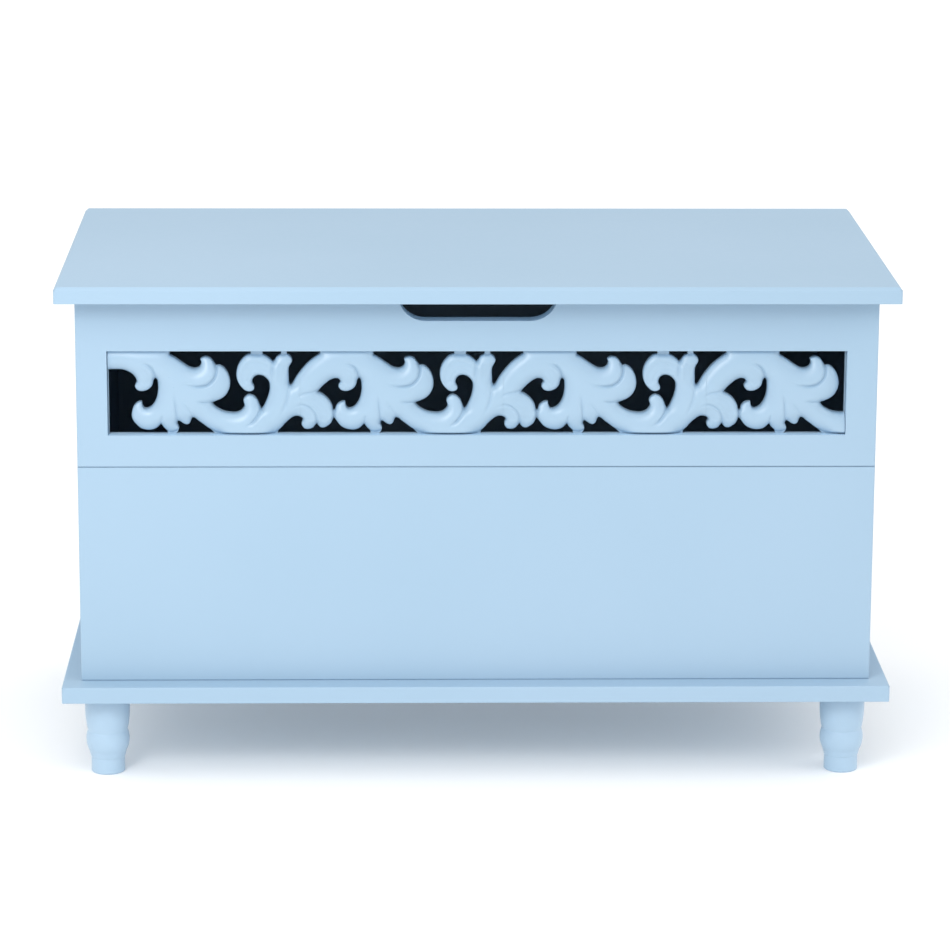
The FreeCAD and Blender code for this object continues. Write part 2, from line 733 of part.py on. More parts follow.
LEFT_GAP = [
    [(54, 0)],
    [(LEFT_END, 0)],
    [(LEFT_END, 59.8), (10, 59.8), (15.5, 59.2), (19, 57.7), (22.5, 55.5), (25, 52.7)],
    [(26.8, 48.2)] + CURL_INSIDE,
    [(30.8, 29.5), (28, 29.3), (25.3, 27.5), (23.3, 24.9), (22, 21), (21.5, 17.5), (22, 14),
     (23.5, 11.2), (26, 8.2), (29.5, 5.2), (33.5, 3.7), (37.5, 3.4)] + COMMA_FOOT,
    [(48, 9), (49, 7.7), (51, 5.2), (53.5, 2.7)],
]

# Each opening and the repeats that show it.
OPENINGS = [
    (PLUME_GAP, range(0, 4)),
    (CURL_NOTCH, range(0, 3)),
    (STEM_WEDGE, range(0, 3)),
    (ARCH_GAP, range(1, 4)),
    (FOOT_GAP, range(1, 4)),
    (LEAF_GAP, range(0, 4)),
    (LEFT_GAP, range(0, 1)),
]

# Lobes of the scroll: points along the middle as (along, up, half width), and the rise of the
# crown above the panel. The running stem leaves the leaf, dips, climbs and arches over.
TROUGH_START = [(59, 43, 5.5), (67, 35, 7), (76, 26.5, 8), (87, 18.5, 8.8), (99, 12.5, 9.2),
                (111, 10, 9.2)]
LOBES = [
    (7.8, range(0, 3), TROUGH_START + [
        (125, 10, 9.2), (139, 13, 9.6), (153, 21, 10), (163, 32, 10), (172, 42, 9.6),
        (182, 51.5, 9.8), (193, 60, 9.8), (206, 64.5, 8.6), (219, 65.5, 7.8), (231, 64.5, 8)]),
    (7.8, range(3, 4), TROUGH_START + [(116, 10, 9.2)]),
    (7.8, range(0, 1), [(0, 66.8, 6.8), (15, 66.8, 6.8), (31, 66, 7.2), (46.5, 64.5, 8)]),
    (8.6, range(1, 4), [(1, 40, 4), (8, 48, 6), (17, 56, 7.4), (27, 60, 7.4), (33.5, 56.5, 7),
                        (34.4, 50.5, 6.8), (32.6, 46.6, 6), (30, 44.5, 4)]),
    (8.6, range(0, 1), [(8, 66, 4), (18, 64, 5.6), (27, 60.4, 6.8), (33.5, 56.5, 7),
                        (34.4, 50.5, 6.8), (32.6, 46.6, 6), (30, 44.5, 4)]),
    (8.8, range(0, 4), [(43, 65, 7), (56, 61.5, 9), (66, 56.5, 9.2), (76, 53.5, 8.6),
                        (85, 55, 8), (90.8, 60.5, 6.8), (90.5, 66, 5.4), (88, 68.6, 2.4)]),
    (7.4, range(0, 4), [(55, 48, 6.4), (67, 41, 6.8), (79, 37.5, 7.4), (91, 38.8, 8),
                        (100, 45.5, 8.4), (102.4, 53.5, 7.6), (101, 59.5, 4.5)]),
    (8.2, range(0, 4), [(51, 37, 6), (47.5, 27, 7.8), (41, 17.6, 9.4), (33, 13.6, 8.8),
                        (27, 17.8, 5), (26, 24.4, 3.6), (28, 27.6, 1.6)]),
    (7.6, range(0, 4), [(54, 53, 7.6), (53, 39, 7.6), (54, 25, 7.4), (56, 14, 7.4),
                        (56.4, 9, 6.4), (56.4, 3.6, 3)]),
    (7.0, range(0, 4), [(63, 37, 4), (66, 27, 5.4), (69, 19, 5.6), (71, 12.4, 3)]),
    (8.2, range(0, 3), [(141, 16, 5), (150, 26, 7), (155, 38, 8), (155.2, 50, 8.2),
                        (150, 58.5, 8.4), (139, 63.6, 8.8), (128.5, 60.5, 8), (124, 52.5, 6.6),
                        (125.4, 46, 5.8), (128.4, 42.6, 3)]),
    (7.4, range(0, 3), [(156, 47, 5), (157.5, 57, 6.2), (159.4, 66, 6.8), (159.8, 71, 4)]),
    (7.4, range(0, 3), [(165, 27, 5.6), (175, 33.5, 6.2), (185, 34, 7), (193, 29, 7.4),
                        (196.4, 20, 7.2), (196, 12.4, 6), (194.4, 8, 3)]),
    (8.2, range(0, 3), [(157, 15, 5), (165, 21, 5.8), (174, 23, 6), (181.3, 20, 6.2),
                        (183.6, 13.5, 6), (182, 9.4, 5), (180.4, 6.4, 2.4)]),
    (7.4, range(0, 3), [(127, 9, 6), (132, 16, 6.2), (132, 24, 6.2), (129.6, 30.4, 5.4),
                        (127.6, 33, 2.6)]),
]
# How far a lobe's foot is sunk into the panel, and the part of its rise at which its sides bevel.
SUNK = 1
BROW_PART = 0.45


def opening_face(runs, shift):
    """The flat shape of one opening, its runs joined at their corners."""
    edges = []
    for number, run in enumerate(runs):
        closing = runs[(number + 1) % len(runs)][0]
        points = [Vector(along + shift, 0, up) for along, up in run + [closing]]
        if len(points) == 2:
            edges.append(Part.makeLine(points[0], points[1]))
        else:
            curve = Part.BSplineCurve()
            curve.interpolate(points)
            edges.append(curve.toShape())
    return Part.Face(Part.Wire(edges))


def lobe_solid(points, rise, shift):
    """A bevelled ridge: a six-sided section carried along the lobe's middle line."""
    brow = BROW_PART * rise
    shape = [(-1, -SUNK), (-1, brow), (-0.5, rise), (0.5, rise), (1, brow), (1, -SUNK)]
    sections = []
    for number, (along, up, half) in enumerate(points):
        before = points[max(number - 1, 0)]
        after = points[min(number + 1, len(points) - 1)]
        heading = Vector(after[0] - before[0], 0, after[1] - before[1]).normalize()
        across = Vector(-heading.z, 0, heading.x)
        centre = Vector(along + shift, 0, up)
        corners = [centre + across * (side * half) + FRONTWARD * proud for side, proud in shape]
        sections.append(Part.makePolygon(corners + corners[:1]))
    return Part.makeLoft(sections, True, True)


def fretwork_shape():
    """The pierced panel with its lobes, in window coordinates, its front face at y = 0."""
    lap = value("dims.rebate_lap")
    length = value("dims.window_length")
    sheet_face = Part.Face(Part.makePolygon([
        Vector(-lap, 0, -lap), Vector(length + lap, 0, -lap),
        Vector(length + lap, 0, TOP + lap), Vector(-lap, 0, TOP + lap), Vector(-lap, 0, -lap)]))
    window_face = Part.Face(Part.makePolygon([
        Vector(LEFT_END, 0, 0), Vector(RIGHT_END, 0, 0),
        Vector(RIGHT_END, 0, TOP), Vector(LEFT_END, 0, TOP), Vector(LEFT_END, 0, 0)]))
    gaps = []
    for runs, repeats in OPENINGS:
        for repeat in repeats:
            gaps.append(opening_face(runs, repeat * REPEAT).common(window_face))
    panel = sheet_face.cut(Part.makeCompound(gaps)).extrude(BACKWARD * value("dims.rebate_deep"))
    lobes = [
        lobe_solid(points, rise, repeat * REPEAT)
        for rise, repeats, points in LOBES
        for repeat in repeats
    ]
    return panel.Solids[0].multiFuse(lobes)


fret_blank = doc.addObject("Part::Feature", "fretwork_blank")
fret_blank.Shape = fretwork_shape()
fret_blank.Placement = FreeCAD.Placement(
    Vector(-window_half, front_inside - value("dims.rebate_deep"), window_bottom),
    FreeCAD.Rotation())
keep(bored("fretwork_panel", fret_blank, [fretwork_screws]), "fretwork_panel")


# Checks, then one file for each sub-part

doc.recompute()
for piece in doc.Objects:
    if "Invalid" in piece.State or "Error" in piece.State:
        raise RuntimeError(f"{piece.Name} failed: {piece.State}")
for piece in finished:
    if piece.Shape.isNull() or not piece.Shape.isValid() or not piece.Shape.Solids:
        raise RuntimeError(f"{piece.Label} has no valid solid")

os.makedirs("parts", exist_ok=True)
for piece in finished:
    piece.Shape.exportStep(os.path.join("parts", f"{piece.Label}.step"))
    box = piece.Shape.BoundBox
    print(f"{piece.Label}: {len(piece.Shape.Solids)} solids, "
          f"x {box.XMin:.1f} to {box.XMax:.1f}, y {box.YMin:.1f} to {box.YMax:.1f}, "
          f"z {box.ZMin:.1f} to {box.ZMax:.1f}")
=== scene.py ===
import json
import math

import bpy
import numpy as np
from mathutils import Matrix, Vector


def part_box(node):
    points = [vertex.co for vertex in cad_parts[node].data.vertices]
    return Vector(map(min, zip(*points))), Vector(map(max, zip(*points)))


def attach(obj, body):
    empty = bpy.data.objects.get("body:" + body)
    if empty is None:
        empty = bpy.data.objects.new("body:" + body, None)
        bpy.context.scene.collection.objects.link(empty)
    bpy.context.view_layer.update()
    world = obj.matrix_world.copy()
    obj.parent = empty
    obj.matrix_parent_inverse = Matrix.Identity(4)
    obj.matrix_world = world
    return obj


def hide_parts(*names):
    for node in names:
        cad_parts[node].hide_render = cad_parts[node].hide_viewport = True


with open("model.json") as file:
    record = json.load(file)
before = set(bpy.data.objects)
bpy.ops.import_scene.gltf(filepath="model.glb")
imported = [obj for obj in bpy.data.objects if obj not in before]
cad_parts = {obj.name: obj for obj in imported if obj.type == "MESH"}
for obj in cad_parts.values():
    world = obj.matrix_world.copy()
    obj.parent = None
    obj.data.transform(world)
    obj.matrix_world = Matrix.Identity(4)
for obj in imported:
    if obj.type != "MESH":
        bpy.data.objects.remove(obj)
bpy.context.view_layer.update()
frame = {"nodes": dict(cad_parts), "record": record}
nodes = frame["nodes"]

# A painted storage chest in a white studio. Places are in metres, in the frame of the CAD model:
# the front faces -Y and the floor is at height 0. The carving is drawn in millimetres.
MM = 0.001

# The carved panel is this much longer than its window on every side, in millimetres, and lies
# behind the front there.
LAP = 10


# Shader arithmetic and material building

class Signal:
    """One output of a shader node. Arithmetic on it adds Math nodes."""

    def __init__(self, tree, socket):
        self.tree = tree
        self.socket = socket

    def math(self, operation, first, second):
        node = self.tree.nodes.new("ShaderNodeMath")
        node.operation = operation
        for entry, operand in zip(node.inputs, (first, second)):
            if isinstance(operand, Signal):
                self.tree.links.new(operand.socket, entry)
            else:
                entry.default_value = operand
        return Signal(self.tree, node.outputs[0])

    def __add__(self, other):
        return self.math("ADD", self, other)

    __radd__ = __add__

    def __sub__(self, other):
        return self.math("SUBTRACT", self, other)

    def __rsub__(self, other):
        return self.math("SUBTRACT", other, self)

    def __mul__(self, other):
        return self.math("MULTIPLY", self, other)

    __rmul__ = __mul__

    def clamp(self):
        return self.math("MINIMUM", self.math("MAXIMUM", self, 0.0), 1.0)

    def between(self, low, high):
        """1 where the signal is above low and below high, and 0 elsewhere."""
        return self.math("GREATER_THAN", self, low) * self.math("LESS_THAN", self, high)

    def over(self, low, high):
        """0 up to low, 1 from high on, and a straight rise between."""
        return ((self - low) * (1 / (high - low))).clamp()


class Finish:
    """A material under construction."""

    # The Mix node has its factor at socket 0, its two colours at 6 and 7, and gives the mixed
    # colour at output 2.
    MIX_FACTOR, MIX_FIRST, MIX_SECOND, MIX_OUTPUT = 0, 6, 7, 2

    def __init__(self, name):
        self.material = bpy.data.materials.new(name)
        self.material.use_nodes = True
        self.tree = self.material.node_tree
        self.tree.nodes.clear()

    def node(self, kind, settings=None, sockets=None, output=0):
        """Adds a node: its settings first, then the values or links of its sockets."""
        made = self.tree.nodes.new(kind)
        for name, setting in (settings or {}).items():
            setattr(made, name, setting)
        for key, operand in (sockets or {}).items():
            if isinstance(operand, Signal):
                self.tree.links.new(operand.socket, made.inputs[key])
            else:
                made.inputs[key].default_value = operand
        return Signal(self.tree, made.outputs[output]) if len(made.outputs) else None

    def place(self, stretch=(1, 1, 1)):
        """Object coordinates in metres, stretched along each axis."""
        spot = self.node("ShaderNodeTexCoord", output="Object")
        if stretch == (1, 1, 1):
            return spot
        return self.node("ShaderNodeMapping", sockets={"Vector": spot, "Scale": stretch})

    def axes(self):
        """The three object coordinates, each as a signal."""
        spot = self.place()
        return [self.node("ShaderNodeSeparateXYZ", sockets={0: spot}, output=axis)
                for axis in ("X", "Y", "Z")]

    def noise(self, scale, detail, stretch=(1, 1, 1)):
        """Soft noise between 0 and 1: scale is its grains in a metre, detail its octaves."""
        return self.node("ShaderNodeTexNoise", sockets={
            "Vector": self.place(stretch), "Scale": scale, "Detail": detail})

    def mix(self, amount, first, second):
        """A colour between the first, at amount 0, and the second, at amount 1."""
        sockets = {self.MIX_FACTOR: amount, self.MIX_FIRST: first, self.MIX_SECOND: second}
        return self.node("ShaderNodeMix", {"data_type": "RGBA"}, sockets, self.MIX_OUTPUT)

    def surface(self, constants, colour, roughness, bump=None):
        """Ends the material: a principled shader with its constants, then its varying inputs."""
        sockets = dict(constants)
        sockets["Base Color"] = colour
        sockets["Roughness"] = roughness
        if bump is not None:
            sockets["Normal"] = bump
        shader = self.node("ShaderNodeBsdfPrincipled", sockets=sockets)
        self.node("ShaderNodeOutputMaterial", sockets={"Surface": shader})
        return self.material


def linear(red, green, blue):
    """A colour given in screen values from 0 to 255, as the shader's own light values."""
    def light(screen):
        share = screen / 255
        return share / 12.92 if share <= 0.04045 else ((share + 0.055) / 1.055) ** 2.4
    return (light(red), light(green), light(blue), 1.0)


# Finishes

PAINT = linear(152, 179, 200)
PAINT_DRIFT = linear(156, 182, 203)
# Lighter paint at the arrises: partly thinner paint, partly a painted highlight.
PAINT_THIN_AND_HIGHLIGHT = linear(172, 198, 219)
# Darker paint in the carving's creases: partly pooled paint, partly painted shade.
PAINT_POOL_AND_SHADE = linear(129, 160, 186)
# The legs' paint is lighter than the boards' as painted light: it stands in for the light the
# floor throws up on them.
FOOT_PAINT_LIT = linear(167, 192, 212)
FOOT_DRIFT_LIT = linear(163, 189, 210)
# The lining's coat is painted darker as painted shade inside the shut box.
INSIDE_SHADE_PAINT = linear(128, 152, 172)
# The walls of the window and notch are painted lighter as painted light.
REVEAL_LIGHT_PAINT = linear(178, 208, 231)

# Roughness that the satin starts from.
BOARD_DULL = 0.49
CARVING_DULL = 0.24
FOOT_DULL = 0.3

# Grains of each pattern in a metre: the tone's drift, the roller's stipple and its fine part,
# the brushing and patches of metal, and the grain and flecks of beech.
DRIFT, ROLLER, FINE = 3.0, 160.0, 900.0
BRUSHING, PATCHES = 1500.0, 90.0
BEECH_GRAIN, BEECH_FLECKS = 700.0, 2600.0

ARRIS = 0.7 * MM
STIPPLE = 0.01 * MM
BRUSH_LINES = 0.02 * MM
OPEN_GRAIN = 0.05 * MM

# A mask passes the faces that it takes in by the slack, and stops short of others by the rim.
SLACK = 0.1 * MM
RIM = 0.2 * MM
NOTCH_REACH = 80 * MM
NOTCH_DEEP = 24 * MM


def paint_finish(name, dull, coat=PAINT, drifted=PAINT_DRIFT, hollow=False, inside=False):
    """Satin paint on board: a faint drift of tone, roller stipple, and softened arrises that are
    painted lighter, partly as thinner paint and partly as a painted highlight.

    dull is the roughness that the satin starts from. hollow reads the piece's own attribute of
    that name and darkens there, partly as paint pooled in the creases and partly as painted shade.
    inside gives the faces that line the box a flatter coat painted darker as painted shade, and
    paints the walls of the scroll's window and finger notch lighter as painted light.
    """
    finish = Finish(name)
    drift = finish.noise(DRIFT, 2.0)
    fine = finish.noise(FINE, 2.0)
    broad = finish.noise(ROLLER, 3.0)
    rounded = finish.node("ShaderNodeBevel", {"samples": 6}, {"Radius": ARRIS})
    flat = finish.node("ShaderNodeNewGeometry", output="Normal")
    facing = finish.node("ShaderNodeVectorMath", {"operation": "DOT_PRODUCT"},
                         {0: rounded, 1: flat}, output="Value")
    arris = (1 - facing).over(0.01, 0.2)
    colour = finish.mix(drift.over(0.3, 0.7), coat, drifted)
    # Arrises lighter: partly thinner paint, partly a painted highlight.
    colour = finish.mix(arris * 0.35, colour, PAINT_THIN_AND_HIGHLIGHT)
    if hollow:
        # Painted shade: the carving's creases are darkened, partly as pooled paint.
        pooled_and_shaded = finish.node("ShaderNodeAttribute", {"attribute_name": "hollow"}, output="Fac")
        colour = finish.mix(pooled_and_shaded * 0.5, colour, PAINT_POOL_AND_SHADE)
    roughness = dull + broad * 0.08 + fine * 0.03 - arris * 0.03
    if inside:
        # Painted shade: the faces lining the box are painted darker to stand in for the shade
        # inside it.
        lining = inside_mask(finish)
        colour = finish.mix(lining, colour, INSIDE_SHADE_PAINT)
        roughness = roughness + lining * 0.2
        # Painted light: the walls of the window and finger notch are painted lighter, as if more
        # light fell there.
        walls = window_mask(finish) + notch_mask(finish)
        colour = finish.mix(walls, colour, REVEAL_LIGHT_PAINT)
    stipple = finish.node("ShaderNodeBump", sockets={
        "Strength": 0.6, "Distance": STIPPLE, "Height": fine * 0.6 + broad, "Normal": rounded})
    return finish.surface({"IOR": 1.5, "Specular IOR Level": 0.45}, colour, roughness, stipple)


def inside_mask(finish):
    """1 on the faces that line the box, from where they lie, and 0 on every outer face."""
    inner_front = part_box("front_lower_panel")[1].y - SLACK
    inner_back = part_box("back_panel")[0].y + SLACK
    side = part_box("right_side_panel")[0].x + SLACK
    floor_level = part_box("base_board")[1].z - SLACK
    lid_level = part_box("lid_panel")[0].z - SLACK
    x, y, z = finish.axes()
    deep = y.between(inner_front, inner_back)
    return x.between(-side, side) * deep * z.between(floor_level, lid_level)


def window_mask(finish):
    """1 on the walls of the scroll's window, behind the face of the front, and 0 elsewhere."""
    low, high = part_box("fretwork_panel")
    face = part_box("front_frame")[0].y + RIM
    lap = LAP * MM - SLACK
    x, y, z = finish.axes()
    across = x.between(low.x + lap, high.x - lap)
    return across * y.between(face, high.y) * z.between(low.z + lap, high.z - lap)


def notch_mask(finish):
    """1 on the walls of the finger notch, between the faces of the front, and 0 elsewhere."""
    low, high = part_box("front_frame")
    x, y, z = finish.axes()
    across = x.between(-NOTCH_REACH, NOTCH_REACH)
    walls = y.between(low.y + RIM, high.y - RIM)
    return across * walls * z.between(high.z - NOTCH_DEEP, high.z - RIM)


def metal_finish(name, bright, dull, brushed=(1, 1, 1), roughness=0.32):
    """Bare or plated metal: fine lines, drawn out as brushed says, and dull patches."""
    finish = Finish(name)
    lines = finish.noise(BRUSHING, 3.0, brushed)
    patches = finish.noise(PATCHES, 3.0)
    colour = finish.mix(patches.over(0.35, 0.7), bright, dull)
    bump = finish.node("ShaderNodeBump", sockets={
        "Strength": 0.25, "Distance": BRUSH_LINES, "Height": lines})
    rough = roughness + lines * 0.12 + patches * 0.1
    return finish.surface({"Metallic": 1.0}, colour, rough, bump)


def dowel_finish(name):
    """Bare beech: pale, with short fine grain along the dowel."""
    finish = Finish(name)
    grain = finish.noise(BEECH_GRAIN, 4.0, (1, 1, 0.06))
    flecks = finish.noise(BEECH_FLECKS, 2.0, (1, 1, 0.2))
    colour = finish.mix(grain.over(0.35, 0.65), linear(214, 180, 138), linear(186, 148, 104))
    bump = finish.node("ShaderNodeBump", sockets={
        "Strength": 0.4, "Distance": OPEN_GRAIN, "Height": grain + flecks * 0.4})
    return finish.surface({"Specular IOR Level": 0.3}, colour, 0.65 + grain * 0.1, bump)


board_paint = paint_finish("board_paint", BOARD_DULL, inside=True)
carving_paint = paint_finish("carving_paint", CARVING_DULL, hollow=True)
# Painted light: the legs get a lighter copy of the board paint.
lit_foot_paint = paint_finish("lit_foot_paint", FOOT_DULL, FOOT_PAINT_LIT, FOOT_DRIFT_LIT)
plated_steel = metal_finish(
    "plated_steel", linear(200, 201, 200), linear(168, 170, 172), brushed=(0.05, 1, 1))
screw_zinc = metal_finish("screw_zinc", linear(205, 204, 198), linear(150, 150, 148))
cam_zinc = metal_finish("cam_zinc", linear(212, 212, 212), linear(172, 173, 176), roughness=0.6)
insert_brass = metal_finish("insert_brass", linear(212, 176, 98), linear(160, 126, 66))
bare_beech = dowel_finish("bare_beech")

FINISHES = {
    "painted_board": board_paint,
    "carved_panel": board_paint,
    "turned_foot": lit_foot_paint,
    "hinge_steel": plated_steel,
    "screw_steel": screw_zinc,
    "insert_brass": insert_brass,
    "cam_metal": cam_zinc,
    "bare_wood": bare_beech,
}
for entry in frame["record"]["subparts"]:
    mesh = nodes[entry["node"]].data
    mesh.materials.clear()
    mesh.materials.append(FINISHES[entry["material_slot"]])


# The carved scroll. Points are (along, up) in millimetres from the window's lower left corner.

panel_low, panel_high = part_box("fretwork_panel")
SHEET_THICK = 6
WINDOW_LONG = round((panel_high.x - panel_low.x) / MM, 3) - 2 * LAP
TOP = round((panel_high.z - panel_low.z) / MM, 3) - 2 * LAP
END_GAP = 1
REPEAT = 184.5
REPEATS = range(0, 4)
GRID = 0.5

PLUME_GAP = [
    [(130, TOP)],
    [(56.5, TOP)],
    [(56.5, 73), (61, 70.4), (66, 66.9), (71, 63.4), (75.5, 60.9), (80, 60.4), (83.5, 62),
     (85, 64.8), (85, 67.2)],
    [(84.2, 69.2), (88, 71), (91, 70.8), (94.3, 68.7), (96.5, 65.5)],
    [(98.5, 62.8), (101, 63.2), (104, 62), (107.5, 58.5), (110, 53.5), (111, 48), (110.7, 43.2),
     (109, 38.7), (106, 34.7), (102, 32), (98, 30.2)],
    [(94.5, 28.6), (97, 25.2), (101, 22.4), (106, 20.2), (111, 19.3), (116, 19.2), (120, 20.6),
     (122.8, 23.2), (124, 26), (123.4, 28.5), (123, 31), (125, 34.2), (128, 35.8), (131, 35.3),
     (134, 33.2), (136.2, 30), (137.5, 26.5)],
    [(139.3, 22.6), (141.2, 25), (143.2, 29), (145.2, 34), (146.6, 39.5), (147, 44),
     (146.2, 48.3), (144, 51.3), (141, 53.6), (138, 54.4), (135, 54), (132.5, 52.2),
     (131.2, 49.5), (131.3, 46.5), (132.7, 43.8), (132.8, 41.6), (131.3, 39.8), (128, 39),
     (125, 39.7), (122, 42.2), (119.5, 45.4), (117.5, 50), (116.8, 55), (117.3, 59.5),
     (118.8, 64), (121, 67.5), (124, 70.9), (127, 72.9)],
    [(130, 73.6)],
]
CURL_NOTCH = [
    [(157.5, TOP)],
    [(140.5, TOP)],
    [(140.5, 73.2), (145, 71), (148, 68.5)],
    [(150, 66.6), (151.3, 67.6), (152.7, 70), (155, 72.3)],
    [(157.5, 73.6)],
]
STEM_WEDGE = [
    [(192.5, TOP)],
    [(162.5, TOP)],
    [(162.5, 74), (166, 71), (167.3, 67.2), (166.3, 65), (164.7, 62.2), (164, 57), (164.3, 50),
     (164.8, 46.2), (166, 44.8), (167.6, 46.4), (171, 52.4), (175, 57.9), (180, 63.9),
     (185, 68.4), (189.5, 71.9)],
    [(192.5, 74)],
]
CURL_INSIDE = [(25.3, 46), (24.8, 43.8), (25.5, 42), (27.5, 40.1), (30, 39.4), (33, 39.5),
               (36, 40.5), (39, 42.7), (41, 46), (42, 50), (43.3, 51.3), (44.8, 50.3), (45.6, 47),
               (45.8, 43), (45.4, 38), (44, 32.2), (41.5, 27.5), (39, 24.8), (36, 23.3),
               (34, 23.2), (32.2, 24.3), (31.2, 26.6)]
ARCH_GAP = [
    [(6, 38.8), (8, 41.5), (11, 44.7), (15, 48.2), (19, 50.7), (22, 51.4), (25, 50.6)],
    [(26.8, 48.2)] + CURL_INSIDE,
    [(30.8, 29.5), (28, 29.4), (25, 28), (22.6, 25.2)],
    [(21.7, 21.6)],
    [(19.8, 21.6), (19.2, 25), (17.5, 29), (15, 32.4), (11.5, 35.5)],
]
COMMA_FOOT = [(41, 3.9), (44, 5.2), (46, 7)]
FOOT_GAP = [
    [(54, 0)],
    [(-30.3, 0), (-30, 2.7), (-27.5, 5.2), (-24.5, 8.7), (-21.5, 11.7), (-18.5, 14.2),
     (-15.5, 16), (-12.5, 16.4), (-10, 15.7), (-8, 14.2)],
    [(-7.5, 12.8), (-8.5, 11), (-8.9, 8.9), (-8.2, 6.7), (-6.5, 4.7), (-4, 4), (-1.5, 4.2),
     (1.5, 5.5), (3.5, 7.7)],
    [(5, 9.2), (7.5, 6.2), (10, 5.2), (12, 5.5), (15, 7.2), (17.5, 9.2), (19, 11.7)],
    [(20, 14.2)],
    [(21.2, 14.2), (24, 10.2), (26, 7.7), (29, 5.5), (32, 4.2), (37, 3.5)] + COMMA_FOOT,
    [(48, 9), (49, 7.7), (51, 5.2), (53.5, 2.7)],
]
LEAF_GAP = [
    [(62, 0), (63.7, 2.8), (64.2, 5.4), (63.2, 8.2), (62.9, 10.3), (64.3, 11.8), (66, 11),
     (69, 9), (72.3, 8.5), (74.2, 9.7), (75.4, 12.8), (77, 15), (79, 14.4), (82, 12),
     (85.5, 9.4), (89, 6.7), (92.5, 4.2)],
    [(97, 0)],
]
LEFT_GAP = [
    [(54, 0)],
    [(END_GAP, 0)],
    [(END_GAP, 59.8), (10, 59.8), (15.5, 59.2), (19, 57.7), (22.5, 55.5), (25, 52.7)],
    [(26.8, 48.2)] + CURL_INSIDE,
    [(30.8, 29.5), (28, 29.3), (25.3, 27.5), (23.3, 24.9), (22, 21), (21.5, 17.5), (22, 14),
     (23.5, 11.2), (26, 8.2), (29.5, 5.2), (33.5, 3.7), (37.5, 3.4)] + COMMA_FOOT,
    [(48, 9), (49, 7.7), (51, 5.2), (53.5, 2.7)],
]

# Each opening and the repeats of the scroll that show it.
OPENINGS = [
    (PLUME_GAP, range(0, 4)),
    (CURL_NOTCH, range(0, 3)),
    (STEM_WEDGE, range(0, 3)),
    (ARCH_GAP, range(1, 4)),
    (FOOT_GAP, range(1, 4)),
    (LEAF_GAP, range(0, 4)),
    (LEFT_GAP, range(0, 1)),
]

# Flat tabs of the sheet that the carving leaves bare where it meets the window's edge.
TABS = [
    [[(128, TOP)], [(128, 73.8), (132, 73.1), (136, 72.8), (140, 73)], [(142.5, 73.8)],
     [(142.5, TOP)]],
    [[(155.5, TOP)], [(155.5, 73.7), (159, 73.1)], [(163.5, 73.8)], [(163.5, TOP)]],
    [[(52.5, -1)], [(52.5, 3.4), (55, 2.2), (58, 1.8), (61, 2.3)], [(63.5, 3.6)], [(63.5, -1)]],
    [[(93, -1)], [(93, 4.4), (97.5, 2.0)], [(103, 0.2)], [(103, -1)]],
    [[(148, -1)], [(148, 0.2), (151.5, 1.1)], [(155, 3.6)], [(155, -1)]],
]

# Valleys between the leaves: repeats, depth, the higher side (1 left of the line's direction, -1
# right, 0 neither) and points. Each grows from nothing at its first point to its full depth.
VALLEYS = [
    (range(0, 4), 2.2, -1, [(28, 66.2), (33, 65.6), (37, 64), (40.2, 61.3), (42.2, 57.5),
                            (43.2, 54), (43.9, 50.6)]),
    (range(0, 4), 2.8, 1, [(65, 49.8), (70, 47.6), (75, 45.8), (80, 44.9), (85, 44.9), (90, 46),
                           (94, 48.7), (97, 52.5), (98.6, 57), (98.9, 61), (98.3, 64.6)]),
    (range(0, 4), 1.8, 1, [(78, 31.4), (86, 29.9), (91, 29.5), (96, 29.2)]),
    (range(0, 3), 2.4, -1, [(123, 7), (130, 10.5), (134, 14.5), (137, 19), (139.3, 23.8)]),
    (range(0, 3), 1.3, -1, [(155.5, 14), (158.5, 21), (160.5, 26.5), (162.3, 32), (163.6, 38),
                            (164.6, 43.5), (165.3, 46.8)]),
    (range(0, 3), 1.5, -1, [(169, 32.6), (172.5, 34.9), (175, 36.6), (180, 38.3), (185, 39),
                            (190.8, 40)]),
    (range(0, 3), 1.8, -1, [(165.5, 22.2), (168.5, 24.8), (171, 26.4), (174.5, 27.4),
                            (178.5, 27.2), (182.5, 25.4), (186, 22.2), (188.4, 18), (189.4, 13.5),
                            (189.7, 9.4)]),
    (range(1, 4), 3.2, 0, [(20.7, 30), (20.7, 22.5), (20.6, 14)]),
    (range(0, 4), 1.1, 0, [(49.6, 20), (48.8, 14), (48.1, 8.6)]),
    (range(0, 4), 1.6, 1, [(60, 41), (60.7, 35), (61.6, 28), (62.3, 21), (63, 15), (63.9, 11.6)]),
    (range(0, 4), 0.8, -1, [(66, 33.5), (71.5, 25.5), (74.5, 21), (76.3, 17.5), (77.4, 14.6)]),
    (range(0, 3), 1.5, -1, [(147.8, 47), (148.5, 55), (149.2, 61.5), (150.2, 67)]),
]

# Hollows along the middle of the curled leaves: repeats, depth and points (along, up, half width).
HOLLOWS = [
    (range(0, 3), 1.9, [(149, 50, 4), (147, 58, 6), (140, 62.8, 6.8), (131, 62.6, 7),
                        (125.3, 56.5, 6.6), (124, 49.5, 5.4), (127, 44.5, 3.8)]),
    (range(0, 3), 0.6, [(156, 46, 3), (157.3, 56, 4.5), (160, 66, 5)]),
    (range(0, 3), 0.8, [(176, 31.5, 3), (186, 31, 5), (193, 26, 6), (196.5, 17, 5.5),
                        (196, 11, 3.5)]),
    (range(0, 3), 0.7, [(168, 20.5, 3), (176, 21.8, 4), (182, 18.5, 4.5), (183.5, 11.5, 4)]),
    (range(0, 4), 0.6, [(26, 61.5, 3), (33, 57.5, 5), (35, 51, 5), (32, 45, 4)]),
]

